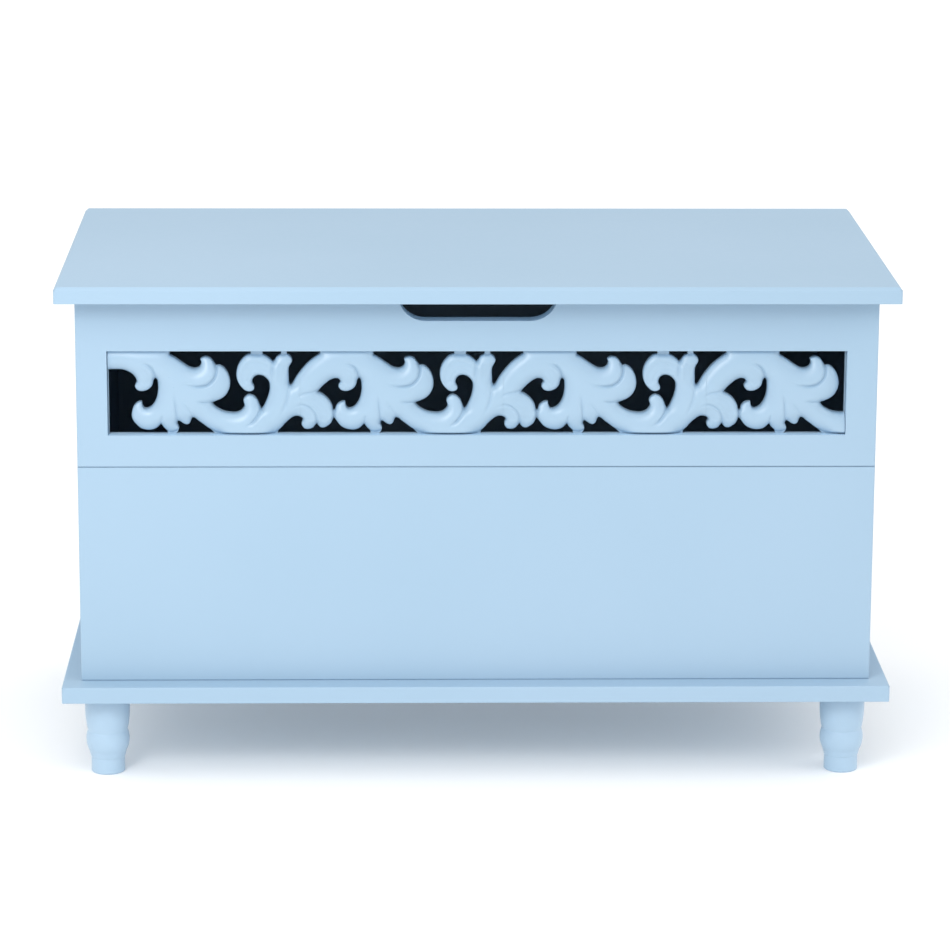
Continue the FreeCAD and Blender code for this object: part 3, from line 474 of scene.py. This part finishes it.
# The carving stands on the sheet: its height at an opening's edge, the rounded shoulder above
# that and the shoulder's width. The sheet's back is bevelled towards the openings.
EDGE_RISE = 2.4
SHOULDER = 1.8
EDGE_ROUND = 1.3
BACK_BEVEL = 3.6
BACK_BEVEL_WIDE = 4.0

# The broad domes: the share of them that is added, how far an edge is felt, how often and how
# far past its new value each point is renewed, and how far over an edge they are blurred.
SWELL = 0.17
SWELL_REACH = 7.0
SWELL_ROUNDS = 90
OVERSHOOT = 1.85
SWELL_OVER = 2

# Valleys: the rounding of their floor, their width on the lower and the higher side, how far
# from their line they are felt, and the lift of the leaf that lies over the other, with the
# distances over which the lift starts and fades.
VALLEY_FLOOR = 0.5
VALLEY_LOW_SIDE = 2.6
VALLEY_HIGH_SIDE = 4.4
VALLEY_REACH = 14.0
OVERLAP_LIFT = 0.25
OVERLAP_START = 0.6
OVERLAP_FADE = 4.5

# Hollows: the share of their half width that is level, and how far they are felt.
HOLLOW_FLOOR = 0.35
HOLLOW_REACH = 8.0

# The height of the bare tabs, and between which distances from a tab the carving rises to it.
TAB_RISE = 3.0
TAB_BLEND = (-0.1, 0.5)

# The height that the carving takes on at the window's ledge, and over what distance.
LEDGE_RISE = 3.8
LEDGE_ROUND = 2.8

# Steps along outlines and middle lines, how far from an opening the distance is worked out,
# and the least distance, which keeps slivers out of the cut sheet.
OUTLINE_STEP = 0.8
LINE_STEP = 1.5
OPENING_REACH = 6.0
LEAST_DISTANCE = 0.04

# Paint pools, and painted shade darkens the creases, where the surface lies this far under its own
# average over a few millimetres.
POOL_AND_SHADE_FULL = 0.9
POOL_AND_SHADE_PASSES = 12

# The pieces are parted this far before each repeat, and edges sharper than this stay sharp.
PART_BEFORE = 10
SHARP_EDGE = 35


def smooth_curve(points, spacing):
    """Points on the smooth curve through the given ones, about spacing apart.

    Each span is a cubic in the distance along the chords. The bend runs on from one span to
    the next and is none at both ends, which gives one set of linear equations for the bends.
    """
    knots = np.asarray(points, float)
    if len(knots) < 3:
        return knots
    gaps = np.linalg.norm(np.diff(knots[:, :2], axis=0), axis=1)
    slopes = np.diff(knots, axis=0) / gaps[:, None]
    inner = len(knots) - 2
    matrix = np.diag(2 * (gaps[:-1] + gaps[1:]))
    matrix[np.arange(inner - 1), np.arange(1, inner)] = gaps[1:-1]
    matrix[np.arange(1, inner), np.arange(inner - 1)] = gaps[1:-1]
    bends = np.zeros_like(knots)
    bends[1:-1] = np.linalg.solve(matrix, 6 * np.diff(slopes, axis=0))
    starts = np.concatenate([[0], np.cumsum(gaps)])
    steps = max(int(starts[-1] / spacing), len(knots))
    where = np.linspace(0, starts[-1], steps + 1)
    span = np.clip(np.searchsorted(starts, where, side="right") - 1, 0, len(gaps) - 1)
    gap = gaps[span][:, None]
    done = (where - starts[span])[:, None]
    left = gap - done
    return (
        (bends[span] * left ** 3 + bends[span + 1] * done ** 3) / (6 * gap)
        + (knots[span] / gap - bends[span] * gap / 6) * left
        + (knots[span + 1] / gap - bends[span + 1] * gap / 6) * done
    )


def closed_outline(runs):
    """A closed outline: each run is smooth as far as the next run's corner."""
    pieces = []
    for number, run in enumerate(runs):
        closing = runs[(number + 1) % len(runs)][0]
        pieces.append(smooth_curve(run + [closing], OUTLINE_STEP)[:-1])
    return np.concatenate(pieces)


def near(values, spots, margin):
    """The slice of a rising array from the lowest of the spots to the highest, with a margin."""
    start = np.searchsorted(values, spots.min() - margin)
    stop = np.searchsorted(values, spots.max() + margin)
    return slice(start, stop)


def distance_from(shapes, along, up):
    """For each grid point its distance from the nearest of the shapes, below 0 inside one.

    The distance is the least over the outline's straight pieces. A point is inside where a
    line to its right crosses the outline an odd number of times.
    """
    clear = np.full((len(along), len(up)), OPENING_REACH)
    for runs, repeats in shapes:
        outline = closed_outline(runs)
        for repeat in repeats:
            line = outline + (repeat * REPEAT, 0)
            rows = near(along, line[:, 0], OPENING_REACH)
            columns = near(up, line[:, 1], OPENING_REACH)
            a, b = np.meshgrid(along[rows], up[columns], indexing="ij")
            if a.size == 0:
                continue
            least = np.full(a.shape, OPENING_REACH ** 2)
            inside = np.zeros(a.shape, bool)
            for (x0, y0), (x1, y1) in zip(line, np.roll(line, -1, axis=0)):
                dx, dy = x1 - x0, y1 - y0
                length = dx * dx + dy * dy + 1e-12
                share = np.clip(((a - x0) * dx + (b - y0) * dy) / length, 0, 1)
                squared = (a - x0 - share * dx) ** 2 + (b - y0 - share * dy) ** 2
                least = np.minimum(least, squared)
                if y0 != y1:
                    inside ^= ((y0 > b) != (y1 > b)) & (a < x0 + (b - y0) * dx / dy)
            gap = np.where(inside, -np.sqrt(least), np.sqrt(least))
            clear[rows, columns] = np.minimum(clear[rows, columns], gap)
    return clear


def quarter_round(distance, radius):
    """Rises from 0 at the edge to 1 a radius away, as a quarter circle."""
    return np.sqrt(np.clip(1 - (1 - np.clip(distance / radius, 0, 1)) ** 2, 0, 1))


def ease(values, low, high):
    """0 below low, 1 above high and an S between."""
    share = np.clip((values - low) / (high - low), 0, 1)
    return share * share * (3 - 2 * share)


def swell(inside, step):
    """A broad smooth dome over a shape, as of a skin held at its edge and pushed up from below.

    At every point the four neighbours' mean falls short of the height by a fixed push, and a
    spring that gives the reach pulls back. Points are renewed in turn, as on a chess board,
    each time a little past their new value, until the dome has settled. At the window's ledge
    the dome runs on level, as if the leaves went on below it.
    """
    dome = np.zeros(inside.shape)
    row, column = np.indices(inside.shape)
    turns = [inside & ((row + column) % 2 == side) for side in (0, 1)]
    pull = 4 + (step / SWELL_REACH) ** 2
    for _ in range(SWELL_ROUNDS):
        for turn in turns:
            around = np.zeros(inside.shape)
            around[1:] += dome[:-1]
            around[:-1] += dome[1:]
            around[0] += dome[0]
            around[-1] += dome[-1]
            around[:, 1:] += dome[:, :-1]
            around[:, 0] += dome[:, 0]
            around[:, :-1] += dome[:, 1:]
            settled = (around + step ** 2) / pull
            dome = np.where(turn, dome + OVERSHOOT * (settled - dome), dome)
    return dome


def line_field(along, up, points, shift, reach):
    """The nearest place on a curve for grid points near it.

    Gives the grid window, the distance from the curve, the share of its length passed there,
    the side (1 to the left) and what the points carry beyond along and up.
    """
    line = smooth_curve(points, LINE_STEP)
    line[:, 0] += shift
    rows = near(along, line[:, 0], reach)
    columns = near(up, line[:, 1], reach)
    a, b = np.meshgrid(along[rows], up[columns], indexing="ij")
    off = np.full(a.shape, 1e3)
    passed = np.zeros(a.shape)
    side = np.ones(a.shape)
    carried = np.ones(a.shape)
    count = len(line) - 1
    for number in range(count):
        x0, y0 = line[number, :2]
        dx, dy = line[number + 1, :2] - line[number, :2]
        share = np.clip(((a - x0) * dx + (b - y0) * dy) / (dx * dx + dy * dy), 0, 1)
        gap = np.hypot(a - x0 - share * dx, b - y0 - share * dy)
        closer = gap < off
        off = np.where(closer, gap, off)
        passed = np.where(closer, (number + share) / count, passed)
        side = np.where(closer, np.sign(dx * (b - y0) - dy * (a - x0)), side)
        if line.shape[1] == 3:
            width = line[number, 2] + share * (line[number + 1, 2] - line[number, 2])
            carried = np.where(closer, width, carried)
    return (rows, columns), off, passed, side, carried


def cut_valley(height, along, up, depth, high_side, points, shift):
    """Cuts one valley: steep at its floor and rounded off, wider and raised on the higher side.

    It grows over the first half of its length.
    """
    window, off, passed, side, _ = line_field(along, up, points, shift, VALLEY_REACH)
    if off.size == 0:
        return
    strength = depth * ease(passed, 0.0, 0.5)
    high = side * high_side > 0
    wide = np.where(high, VALLEY_HIGH_SIDE, VALLEY_LOW_SIDE)
    rounded = np.hypot(off, VALLEY_FLOOR)
    steep = (1 - quarter_round(rounded, wide)) / (1 - quarter_round(VALLEY_FLOOR, wide))
    started = np.exp(-off / OVERLAP_FADE) * (1 - np.exp(-off / OVERLAP_START))
    lift = OVERLAP_LIFT * side * high_side * started
    height[window] += strength * (lift - steep)


def press_hollow(height, along, up, depth, points, shift):
    """Presses one shallow hollow along a leaf.

    It grows over about the first third of its length and fades over about the last eighth.
    """
    window, off, passed, _, half = line_field(along, up, points, shift, HOLLOW_REACH)
    if off.size == 0:
        return
    ends = ease(passed, 0.0, 0.35) * ease(1 - passed, 0.0, 0.12)
    height[window] -= depth * ends * (1 - ease(off / half, HOLLOW_FLOOR, 1.0))


def softened(values, weight, passes):
    """The map blurred by a few passes of a 1-2-1 filter each way, among the weighted points."""
    total = values * weight
    share = weight.astype(float)
    for _ in range(passes):
        for axis in (0, 1):
            for blurred in (total, share):
                ahead = np.roll(blurred, -1, axis)
                behind = np.roll(blurred, 1, axis)
                blurred[:] = (ahead + behind + 2 * blurred) / 4
    return np.where(weight, total / np.maximum(share, 1e-6), values)


def scroll_height(along, up, solid):
    """Height of the carving before its sheet: rounded edges, broad domes, valleys, hollows."""
    tabs = distance_from([(runs, REPEATS) for runs in TABS], along, up)
    edge = np.minimum(solid, tabs)
    height = EDGE_RISE + SHOULDER * quarter_round(edge, EDGE_ROUND)
    height += SWELL * softened(swell(edge > 0, GRID), edge > -SWELL_OVER, 2)
    for repeats, depth, high_side, points in VALLEYS:
        for repeat in repeats:
            cut_valley(height, along, up, depth, high_side, points, repeat * REPEAT)
    for repeats, depth, points in HOLLOWS:
        for repeat in repeats:
            press_hollow(height, along, up, depth, points, repeat * REPEAT)
    foot = np.clip(up / LEDGE_ROUND, 0, 1)
    height = LEDGE_RISE + (height - LEDGE_RISE) * foot * (2 - foot)
    height = TAB_RISE + (np.maximum(height, EDGE_RISE) - TAB_RISE) * ease(tabs, *TAB_BLEND)
    height = softened(height, solid > 0, 1)

    # The sheet is flat behind the front, above and below the window and from just short of
    # the window's ends on.
    ends = np.minimum(along, WINDOW_LONG - along)[:, None]
    band = np.minimum(up, TOP - up)[None, :]
    return height * (ends > 0.2) * (band > -0.01)


def edge_points(first, second, values_first, values_second):
    """Points on grid edges where the value passes 0, by straight proportion."""
    share = values_first / np.where(values_first == values_second, 1, values_first - values_second)
    return first + np.clip(share, 0, 1)[..., None] * (second - first)


def clipped_sheet(along, up, height, solid):
    """Triangles over the solid part of a grid, cut along the line where solid passes 0.

    Every cell is two triangles. One with all corners solid stays, one with two becomes two
    triangles, and one with one corner becomes a smaller triangle. Each point is along, up,
    height and solid, which is 0 on the cut.
    """
    rows, columns = solid.shape
    a, b = np.meshgrid(along, up, indexing="ij")
    grid = np.stack([a, b, height, solid], axis=-1)
    count = rows * columns
    cell = np.arange(count).reshape(rows, columns)
    row_edges = edge_points(grid[:-1], grid[1:], solid[:-1], solid[1:])
    column_edges = edge_points(grid[:, :-1], grid[:, 1:], solid[:, :-1], solid[:, 1:])
    cross_edges = edge_points(grid[:-1, :-1], grid[1:, 1:], solid[:-1, :-1], solid[1:, 1:])
    points = np.concatenate([
        part.reshape(-1, 4) for part in (grid, row_edges, column_edges, cross_edges)])
    row_id = count + np.arange((rows - 1) * columns).reshape(rows - 1, columns)
    column_id = row_id[-1, -1] + 1 + np.arange(rows * (columns - 1)).reshape(rows, columns - 1)
    cross_id = column_id[-1, -1] + 1 + np.arange((rows - 1) * (columns - 1)).reshape(
        rows - 1, columns - 1)
    lower = (cell[:-1, :-1], cell[1:, :-1], cell[1:, 1:],
             row_id[:, :-1], column_id[1:], cross_id)
    upper = (cell[:-1, :-1], cell[1:, 1:], cell[:-1, 1:],
             cross_id, row_id[:, 1:], column_id[:-1])
    keep = (solid > 0).reshape(-1)
    triangles = []
    for half in (lower, upper):
        p = np.stack([part.reshape(-1) for part in half[:3]])
        e = np.stack([part.reshape(-1) for part in half[3:]])
        held = keep[p]
        full = held.all(axis=0)
        triangles.append(p[:, full].T)
        for turn in range(3):
            one, two, three = turn, (turn + 1) % 3, (turn + 2) % 3
            pair = held[one] & held[two] & ~held[three]
            triangles.append(np.stack([p[one], p[two], e[two]])[:, pair].T)
            triangles.append(np.stack([p[one], e[two], e[three]])[:, pair].T)
            single = held[one] & ~held[two] & ~held[three]
            triangles.append(np.stack([p[one], e[one], e[three]])[:, single].T)
    return points, np.concatenate(triangles)


def closed_slab(points, triangles):
    """A closed solid: the given front, walls at its openings and a back bevelled towards them."""
    used, renumbered = np.unique(triangles, return_inverse=True)
    front, inward = points[used, :3], points[used, 3]
    faces = renumbered.reshape(-1, 3)
    count = len(front)
    front[:, 2] = np.where(inward < 0.001, np.minimum(front[:, 2], EDGE_RISE), front[:, 2])
    rear = front.copy()
    rear[:, 2] = -SHEET_THICK + BACK_BEVEL * (1 - np.clip(inward / BACK_BEVEL_WIDE, 0, 1))
    sides = np.concatenate([faces[:, [0, 1]], faces[:, [1, 2]], faces[:, [2, 0]]])
    forward = sides[:, 0] * count + sides[:, 1]
    reverse = sides[:, 1] * count + sides[:, 0]
    rim = sides[~np.isin(forward, reverse)]
    walls = np.concatenate([
        np.stack([rim[:, 1], rim[:, 0], rim[:, 0] + count], axis=1),
        np.stack([rim[:, 1], rim[:, 0] + count, rim[:, 1] + count], axis=1)])
    return np.concatenate([front, rear]), np.concatenate([faces, faces[:, ::-1] + count, walls])


def mesh_piece(name, vertices, faces, finish, body):
    """A smooth-shaded piece from arrays of vertices, in metres, and of triangles."""
    mesh = bpy.data.meshes.new(name)
    size = faces.shape[1]
    mesh.vertices.add(len(vertices))
    mesh.vertices.foreach_set("co", np.ascontiguousarray(vertices, np.float32).reshape(-1))
    mesh.loops.add(faces.size)
    mesh.loops.foreach_set("vertex_index", faces.astype(np.int32).reshape(-1))
    mesh.polygons.add(len(faces))
    mesh.polygons.foreach_set("loop_start", np.arange(0, faces.size, size, dtype=np.int32))
    mesh.polygons.foreach_set("use_smooth", np.ones(len(faces), bool))
    mesh.update(calc_edges=True)
    mesh.validate()
    mesh.set_sharp_from_angle(angle=math.radians(SHARP_EDGE))
    mesh.materials.append(finish)
    piece = bpy.data.objects.new(name, mesh)
    bpy.context.scene.collection.objects.link(piece)
    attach(piece, body)
    return piece


def carved_scroll():
    """The whole carved panel, cut across into one piece for each repeat of the scroll.

    The grid is fine over the window and coarse beyond it, where the sheet is flat.
    """
    fine = np.arange(0, WINDOW_LONG + GRID / 2, GRID)
    along = np.concatenate([[-LAP, -4, -1], fine, WINDOW_LONG + np.array([1, 4, LAP])])
    tall = np.arange(0, TOP + GRID / 2, GRID)
    up = np.concatenate([[-LAP, -4, -0.05], tall, TOP + np.array([0.05, 4, LAP])])
    ends = np.minimum(along - END_GAP, WINDOW_LONG - END_GAP - along)[:, None]
    solid = np.maximum(distance_from(OPENINGS, along, up), -ends)
    solid[np.abs(solid) < LEAST_DISTANCE] = LEAST_DISTANCE
    height = scroll_height(along, up, solid)
    # Painted shade in the creases, partly pooled paint: how far each point lies under its blurred
    # surroundings.
    below = softened(height, solid > 0, POOL_AND_SHADE_PASSES) - height
    hollow = np.clip(below / POOL_AND_SHADE_FULL, 0, 1)
    parted = [np.searchsorted(along, repeat * REPEAT - PART_BEFORE) for repeat in REPEATS[1:]]
    cuts = [0, *parted, len(along) - 1]
    for number, (start, stop) in enumerate(zip(cuts, cuts[1:]), start=1):
        part = slice(start, stop + 1)
        points, triangles = clipped_sheet(along[part], up, height[part], solid[part])
        vertices, faces = closed_slab(points, triangles)
        place = np.stack([
            panel_low.x + (vertices[:, 0] + LAP) * MM,
            panel_high.y - (SHEET_THICK + vertices[:, 2]) * MM,
            panel_low.z + (vertices[:, 1] + LAP) * MM], axis=1)
        piece = mesh_piece(f"carved_scroll_{number}", place, faces, carving_paint, "chest")
        rows = np.clip(np.searchsorted(along, vertices[:, 0]), 0, len(along) - 1)
        columns = np.clip(np.searchsorted(up, vertices[:, 1]), 0, len(up) - 1)
        pooled_and_shaded = np.where(vertices[:, 2] >= 0, hollow[rows, columns], 0)
        values = piece.data.attributes.new("hollow", "FLOAT", "POINT")
        values.data.foreach_set("value", pooled_and_shaded.astype(np.float32))
    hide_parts("fretwork_panel")


carved_scroll()


# Screws and cams. One is worked out about its own axis in millimetres, with its face at height 0
# and its far end above, and is then stood at each of its places.

frame_low, frame_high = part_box("front_frame")
side_low, side_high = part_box("right_side_panel")
back_low, back_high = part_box("back_panel")
base_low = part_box("base_board")[0]

UPWARD, DOWNWARD = (0, 0, 1), (0, 0, -1)
FRONTWARD, BACKWARD = (0, -1, 0), (0, 1, 0)

# Rows of holes in the CAD model: from the middle of a hinge's leaf, from the chest's middle
# for the base board and the carved panel, and up from the sides' lower edge for the cams.
HINGE_HOLES = (-17 * MM, 0, 17 * MM)
BASE_SCREW_COLUMNS = (-240 * MM, 0, 240 * MM)
BASE_SCREW_ROWS = (-90 * MM, 90 * MM)
PANEL_SCREW_COLUMNS = (-250 * MM, 0, 250 * MM)
FRONT_CAM_RISES = (50 * MM, 150 * MM, 290 * MM)
BACK_CAM_RISES = (60 * MM, 290 * MM)
CAM_SET_IN = 24 * MM

# A cam's size in millimetres, and the share of a screw's radius that its thread leaves.
CAM_RADIUS = 7.5
CAM_DEEP = 12
THREAD_ROOT = 0.72

# Each fitting stands turned by this much more than the one before it, in radians.
LEAN = 0.65


def cross_recess(x, y, reach, half, deep):
    """Depth of a cross cut in a face: two slots, deepest at the middle, that run out at reach."""
    wall = ease(half - np.minimum(abs(x), abs(y)), -0.12 * half, 0.25 * half)
    run = 1 - np.maximum(abs(x), abs(y)) / reach
    return deep * wall * ease(run, 0, 0.2) * (0.6 + 0.4 * np.clip(run, 0, 1))


def turned_shape(face, outline, thread, recess, segments=48):
    """Points and triangles of one turned fitting, closed at both ends.

    face and outline are rows of (radius, height), first across the face and then on to the far
    end. A point at angle t is (r cos t, r sin t, height). The recess lowers the face. The thread
    is (root share, pitch, start, end): between its heights the radius swings from the root share
    to the whole once in each pitch, a ridge that climbs one pitch in each turn.
    """
    radii, heights = np.concatenate([face, outline]).T[:, :, None]
    turn = np.arange(segments) * 2 * np.pi / segments
    root, pitch, start, end = thread
    phase = (heights / pitch - turn / (2 * np.pi)) % 1
    cut = (1 - root) * np.abs(2 * phase - 1) ** 0.7
    cut = cut * ease(heights, start, start + pitch) * (heights < end)
    x = radii * (1 - cut) * np.cos(turn)
    y = radii * (1 - cut) * np.sin(turn)
    on_face = np.arange(len(radii))[:, None] < len(face)
    z = heights + on_face * cross_recess(x, y, *recess)
    poles = [(0, 0, face[0][1] + recess[2]), (0, 0, outline[-1][1])]
    points = np.concatenate([np.stack([x, y, z], axis=-1).reshape(-1, 3), poles])
    ring = np.arange(x.size).reshape(x.shape)
    ahead = np.roll(ring, -1, axis=1)
    first = np.full(segments, x.size)
    triangles = np.concatenate([
        np.stack([ring[:-1], ahead[:-1], ahead[1:]], axis=-1).reshape(-1, 3),
        np.stack([ring[:-1], ahead[1:], ring[1:]], axis=-1).reshape(-1, 3),
        np.stack([first, ahead[0], ring[0]], axis=-1),
        np.stack([first + 1, ring[-1], ahead[-1]], axis=-1)])
    return points, triangles


def fastener_set(name, node, body, finish, shape, places):
    """The fitting at every place, each turned a little further than the one before it."""
    points, triangles = shape
    vertices, faces = [], []
    for number, (place, towards) in enumerate(places):
        axis = np.array(towards, float)
        across = np.cross(axis, (0.0, 0.0, 1.0) if axis[2] == 0 else (1.0, 0.0, 0.0))
        beside = np.cross(axis, across)
        lean = number * LEAN
        turned = np.stack([math.cos(lean) * across + math.sin(lean) * beside,
                           math.cos(lean) * beside - math.sin(lean) * across, axis])
        vertices.append(np.array(place) + points @ turned * MM)
        faces.append(triangles + number * len(points))
    piece = mesh_piece(name, np.concatenate(vertices), np.concatenate(faces), finish, body)
    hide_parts(node)


def wood_screw(length, shank, head, head_deep, pitch, dome=0.0):
    """A screw with a cross recess. Its head is countersunk, or with a dome a low round one.

    All measures are in millimetres, and shank and head are radii. The thread starts a quarter
    of the length beyond the head, and the tip is as long as the shank is thick.
    """
    across = np.linspace(0.06, 1, 22)
    face = np.column_stack([across * head, -dome * np.sqrt(1 - (across * 0.96) ** 2)])
    tip = 2 * shank
    thread_start = head_deep + 0.25 * length
    threaded = np.arange(thread_start, length - 0.2, pitch / 6)
    taper = np.clip((length - threaded) / tip, 0, 1)
    if dome:
        neck = [(head, 0), (shank, 0.02), (shank, thread_start - 0.1)]
    else:
        neck = [(head, 0.12), (shank, head_deep), (shank, thread_start - 0.1)]
    outline = np.concatenate([neck, np.column_stack([taper * shank, threaded])])
    recess = (0.66 * head, 0.13 * head, max(0.75 * head_deep, 0.4 * head))
    return turned_shape(face, outline, (THREAD_ROOT, pitch, thread_start, length), recess)


def cam_disc():
    """A cam: a chamfered disc with a shallow sunk ring and a wide cross for the driver."""
    across = np.linspace(0.05, 1, 26)
    sunk = ease(across, 0.62, 0.66) * ease(across, 0.86, 0.82)
    face = np.column_stack([across * (CAM_RADIUS - 0.4), 0.45 * sunk])
    outline = np.array([
        (CAM_RADIUS, 0.4), (CAM_RADIUS, CAM_DEEP - 0.3), (CAM_RADIUS - 0.3, CAM_DEEP)])
    no_thread = (1.0, 1.0, 0.0, 0.0)
    return turned_shape(face, outline, no_thread, (3.9, 0.75, 2.6), segments=64)


def hinge_screw_places(level, towards):
    """The three holes of each hinge's leaf, at a level and with the screws pointing one way."""
    low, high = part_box("hinge_body_screws")
    for leaf in ("left_hinge_body_leaf", "right_hinge_body_leaf"):
        leaf_low, leaf_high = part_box(leaf)
        for step in HINGE_HOLES:
            x = (leaf_low.x + leaf_high.x) / 2 + step
            yield (x, (low.y + high.y) / 2, level), towards


def base_screw_places():
    """Under the base board, along the middle of the front, the back and both sides."""
    front_middle = (frame_low.y + frame_high.y) / 2
    back_middle = (back_low.y + back_high.y) / 2
    side_middle = (side_low.x + side_high.x) / 2
    spots = [(x, y) for x in BASE_SCREW_COLUMNS for y in (front_middle, back_middle)]
    spots += [(x, y) for x in (-side_middle, side_middle) for y in BASE_SCREW_ROWS]
    for x, y in spots:
        yield (x, y, base_low.z), UPWARD


def fretwork_screw_places():
    """On the carved panel's border, behind the front: above, below and at both ends."""
    border = LAP / 2 * MM
    levels = (panel_low.z + border, panel_high.z - border)
    spots = [(x, z) for x in PANEL_SCREW_COLUMNS for z in levels]
    middle = (panel_low.z + panel_high.z) / 2
    spots += [(panel_low.x + border, middle), (panel_high.x - border, middle)]
    for x, z in spots:
        yield (x, frame_high.y, z), FRONTWARD


def cam_places():
    """In the sides near the front, and in the back near the sides."""
    for side in (-1, 1):
        for rise in FRONT_CAM_RISES:
            place = (side * side_low.x, frame_high.y + CAM_SET_IN, side_low.z + rise)
            yield place, (side, 0, 0)
        for rise in BACK_CAM_RISES:
            place = (side * (side_low.x - CAM_SET_IN), back_low.y, side_low.z + rise)
            yield place, BACKWARD


fastener_set("base_wood_screws", "base_screws", "chest", screw_zinc,
             wood_screw(45, 2, 4, 2.4, 2.2), base_screw_places())
fastener_set("fretwork_pan_screws", "fretwork_screws", "chest", screw_zinc,
             wood_screw(15, 1.5, 3, 0.2, 1.3, dome=1.8), fretwork_screw_places())
fastener_set("hinge_back_screws", "hinge_body_screws", "chest", screw_zinc,
             wood_screw(20, 1.4, 2.8, 1.2, 1.2), hinge_screw_places(frame_high.z, DOWNWARD))
fastener_set("hinge_top_screws", "hinge_lid_screws", "lid", screw_zinc,
             wood_screw(12, 1.4, 2.8, 1.2, 1.2),
             hinge_screw_places(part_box("lid_panel")[0].z, UPWARD))
fastener_set("cam_discs", "cam_housings", "chest", cam_zinc,
             cam_disc(), cam_places())


# Studio

FLOOR_REACH = 40.0
FLOOR_TONES = linear(242, 242, 242), linear(244, 244, 244)
FLOOR_GLOW = 0.102
WHITE = (1, 1, 1, 1)


def studio_floor():
    """A wide level floor in plain white at height 0, which glows a little."""
    corners = np.array([(-1, -1), (1, -1), (1, 1), (-1, 1)], float) * FLOOR_REACH
    vertices = np.column_stack([corners, np.zeros(4)])
    mesh = bpy.data.meshes.new("studio_floor")
    mesh.from_pydata(vertices.tolist(), [], [(0, 1, 2, 3)])
    finish = Finish("studio_white")
    tone = finish.noise(0.7, 1.0)
    colour = finish.mix(tone, *FLOOR_TONES)
    constants = {
        "Specular IOR Level": 0.2, "Emission Color": WHITE, "Emission Strength": FLOOR_GLOW}
    mesh.materials.append(finish.surface(constants, colour, 0.7 + tone * 0.02))
    floor = bpy.data.objects.new("studio_floor", mesh)
    bpy.context.scene.collection.objects.link(floor)


def soft_light(name, place, target, size, power):
    """A square soft box at a place, turned towards a target."""
    data = bpy.data.lights.new(name, "AREA")
    data.shape = "SQUARE"
    data.size = size
    data.energy = power
    lamp = bpy.data.objects.new(name, data)
    bpy.context.scene.collection.objects.link(lamp)
    lamp.location = place
    lamp.rotation_euler = (Vector(target) - Vector(place)).to_track_quat("-Z", "Y").to_euler()
    lamp.visible_camera = False


def far_light(name, strength, spread, left, height):
    """Even light from far off, so many degrees left of the front and so many degrees high."""
    data = bpy.data.lights.new(name, "SUN")
    data.energy = strength
    data.angle = math.radians(spread)
    lamp = bpy.data.objects.new(name, data)
    bpy.context.scene.collection.objects.link(lamp)
    lamp.rotation_euler = (math.radians(90 - height), 0, math.radians(-left))


def studio_world(strength):
    """White light from all round."""
    world = bpy.data.worlds.new("studio_white_world")
    world.use_nodes = True
    sky = world.node_tree.nodes["Background"]
    sky.inputs["Color"].default_value = WHITE
    sky.inputs["Strength"].default_value = strength
    bpy.context.scene.world = world


studio_floor()
studio_world(0.975)
far_light("key", 0.4, spread=30, left=24, height=34)
far_light("left", 0.12, spread=45, left=75, height=34)
far_light("right", 0.6, spread=45, left=-75, height=34)
soft_light("near_left", (-0.65, -1.3, 1.0), (-0.1, -0.1, 0.35), size=0.4, power=4.6)
soft_light("over_front", (-0.2, -1.3, 1.5), (0, -0.2, 0.35), size=1.2, power=3.2)

scene = bpy.context.scene
scene.view_settings.view_transform = "Standard"
scene.view_settings.look = "None"
scene.cycles.use_denoising = True


# Camera: the photograph was taken from a little left of the middle, looking slightly down.

CAMERA_PLACE = Vector((-0.09351, -3.70978, 1.13992))
CAMERA_LENS = 151.13
SENSOR_WIDTH = 36
CLIP_END = 200
CAMERA_DOWN = math.radians(13.598)
CAMERA_RIGHT = math.radians(1.484)
CAMERA_ROLL = math.radians(0.286)


def photo_camera():
    """The camera's line of sight is turned right and down, and its level line is then rolled."""
    sight = Vector((
        math.sin(CAMERA_RIGHT) * math.cos(CAMERA_DOWN),
        math.cos(CAMERA_RIGHT) * math.cos(CAMERA_DOWN),
        -math.sin(CAMERA_DOWN)))
    level = Vector((math.cos(CAMERA_RIGHT), -math.sin(CAMERA_RIGHT), 0))
    upright = level.cross(sight)
    right = math.cos(CAMERA_ROLL) * level + math.sin(CAMERA_ROLL) * upright
    top = math.cos(CAMERA_ROLL) * upright - math.sin(CAMERA_ROLL) * level
    data = bpy.data.cameras.new("photo_camera")
    data.lens = CAMERA_LENS
    data.sensor_width = SENSOR_WIDTH
    data.clip_end = CLIP_END
    camera = bpy.data.objects.new("photo_camera", data)
    scene.collection.objects.link(camera)
    turn = Matrix((right, top, -sight)).transposed()
    camera.matrix_world = Matrix.Translation(CAMERA_PLACE) @ turn.to_4x4()
    scene.camera = camera


photo_camera()
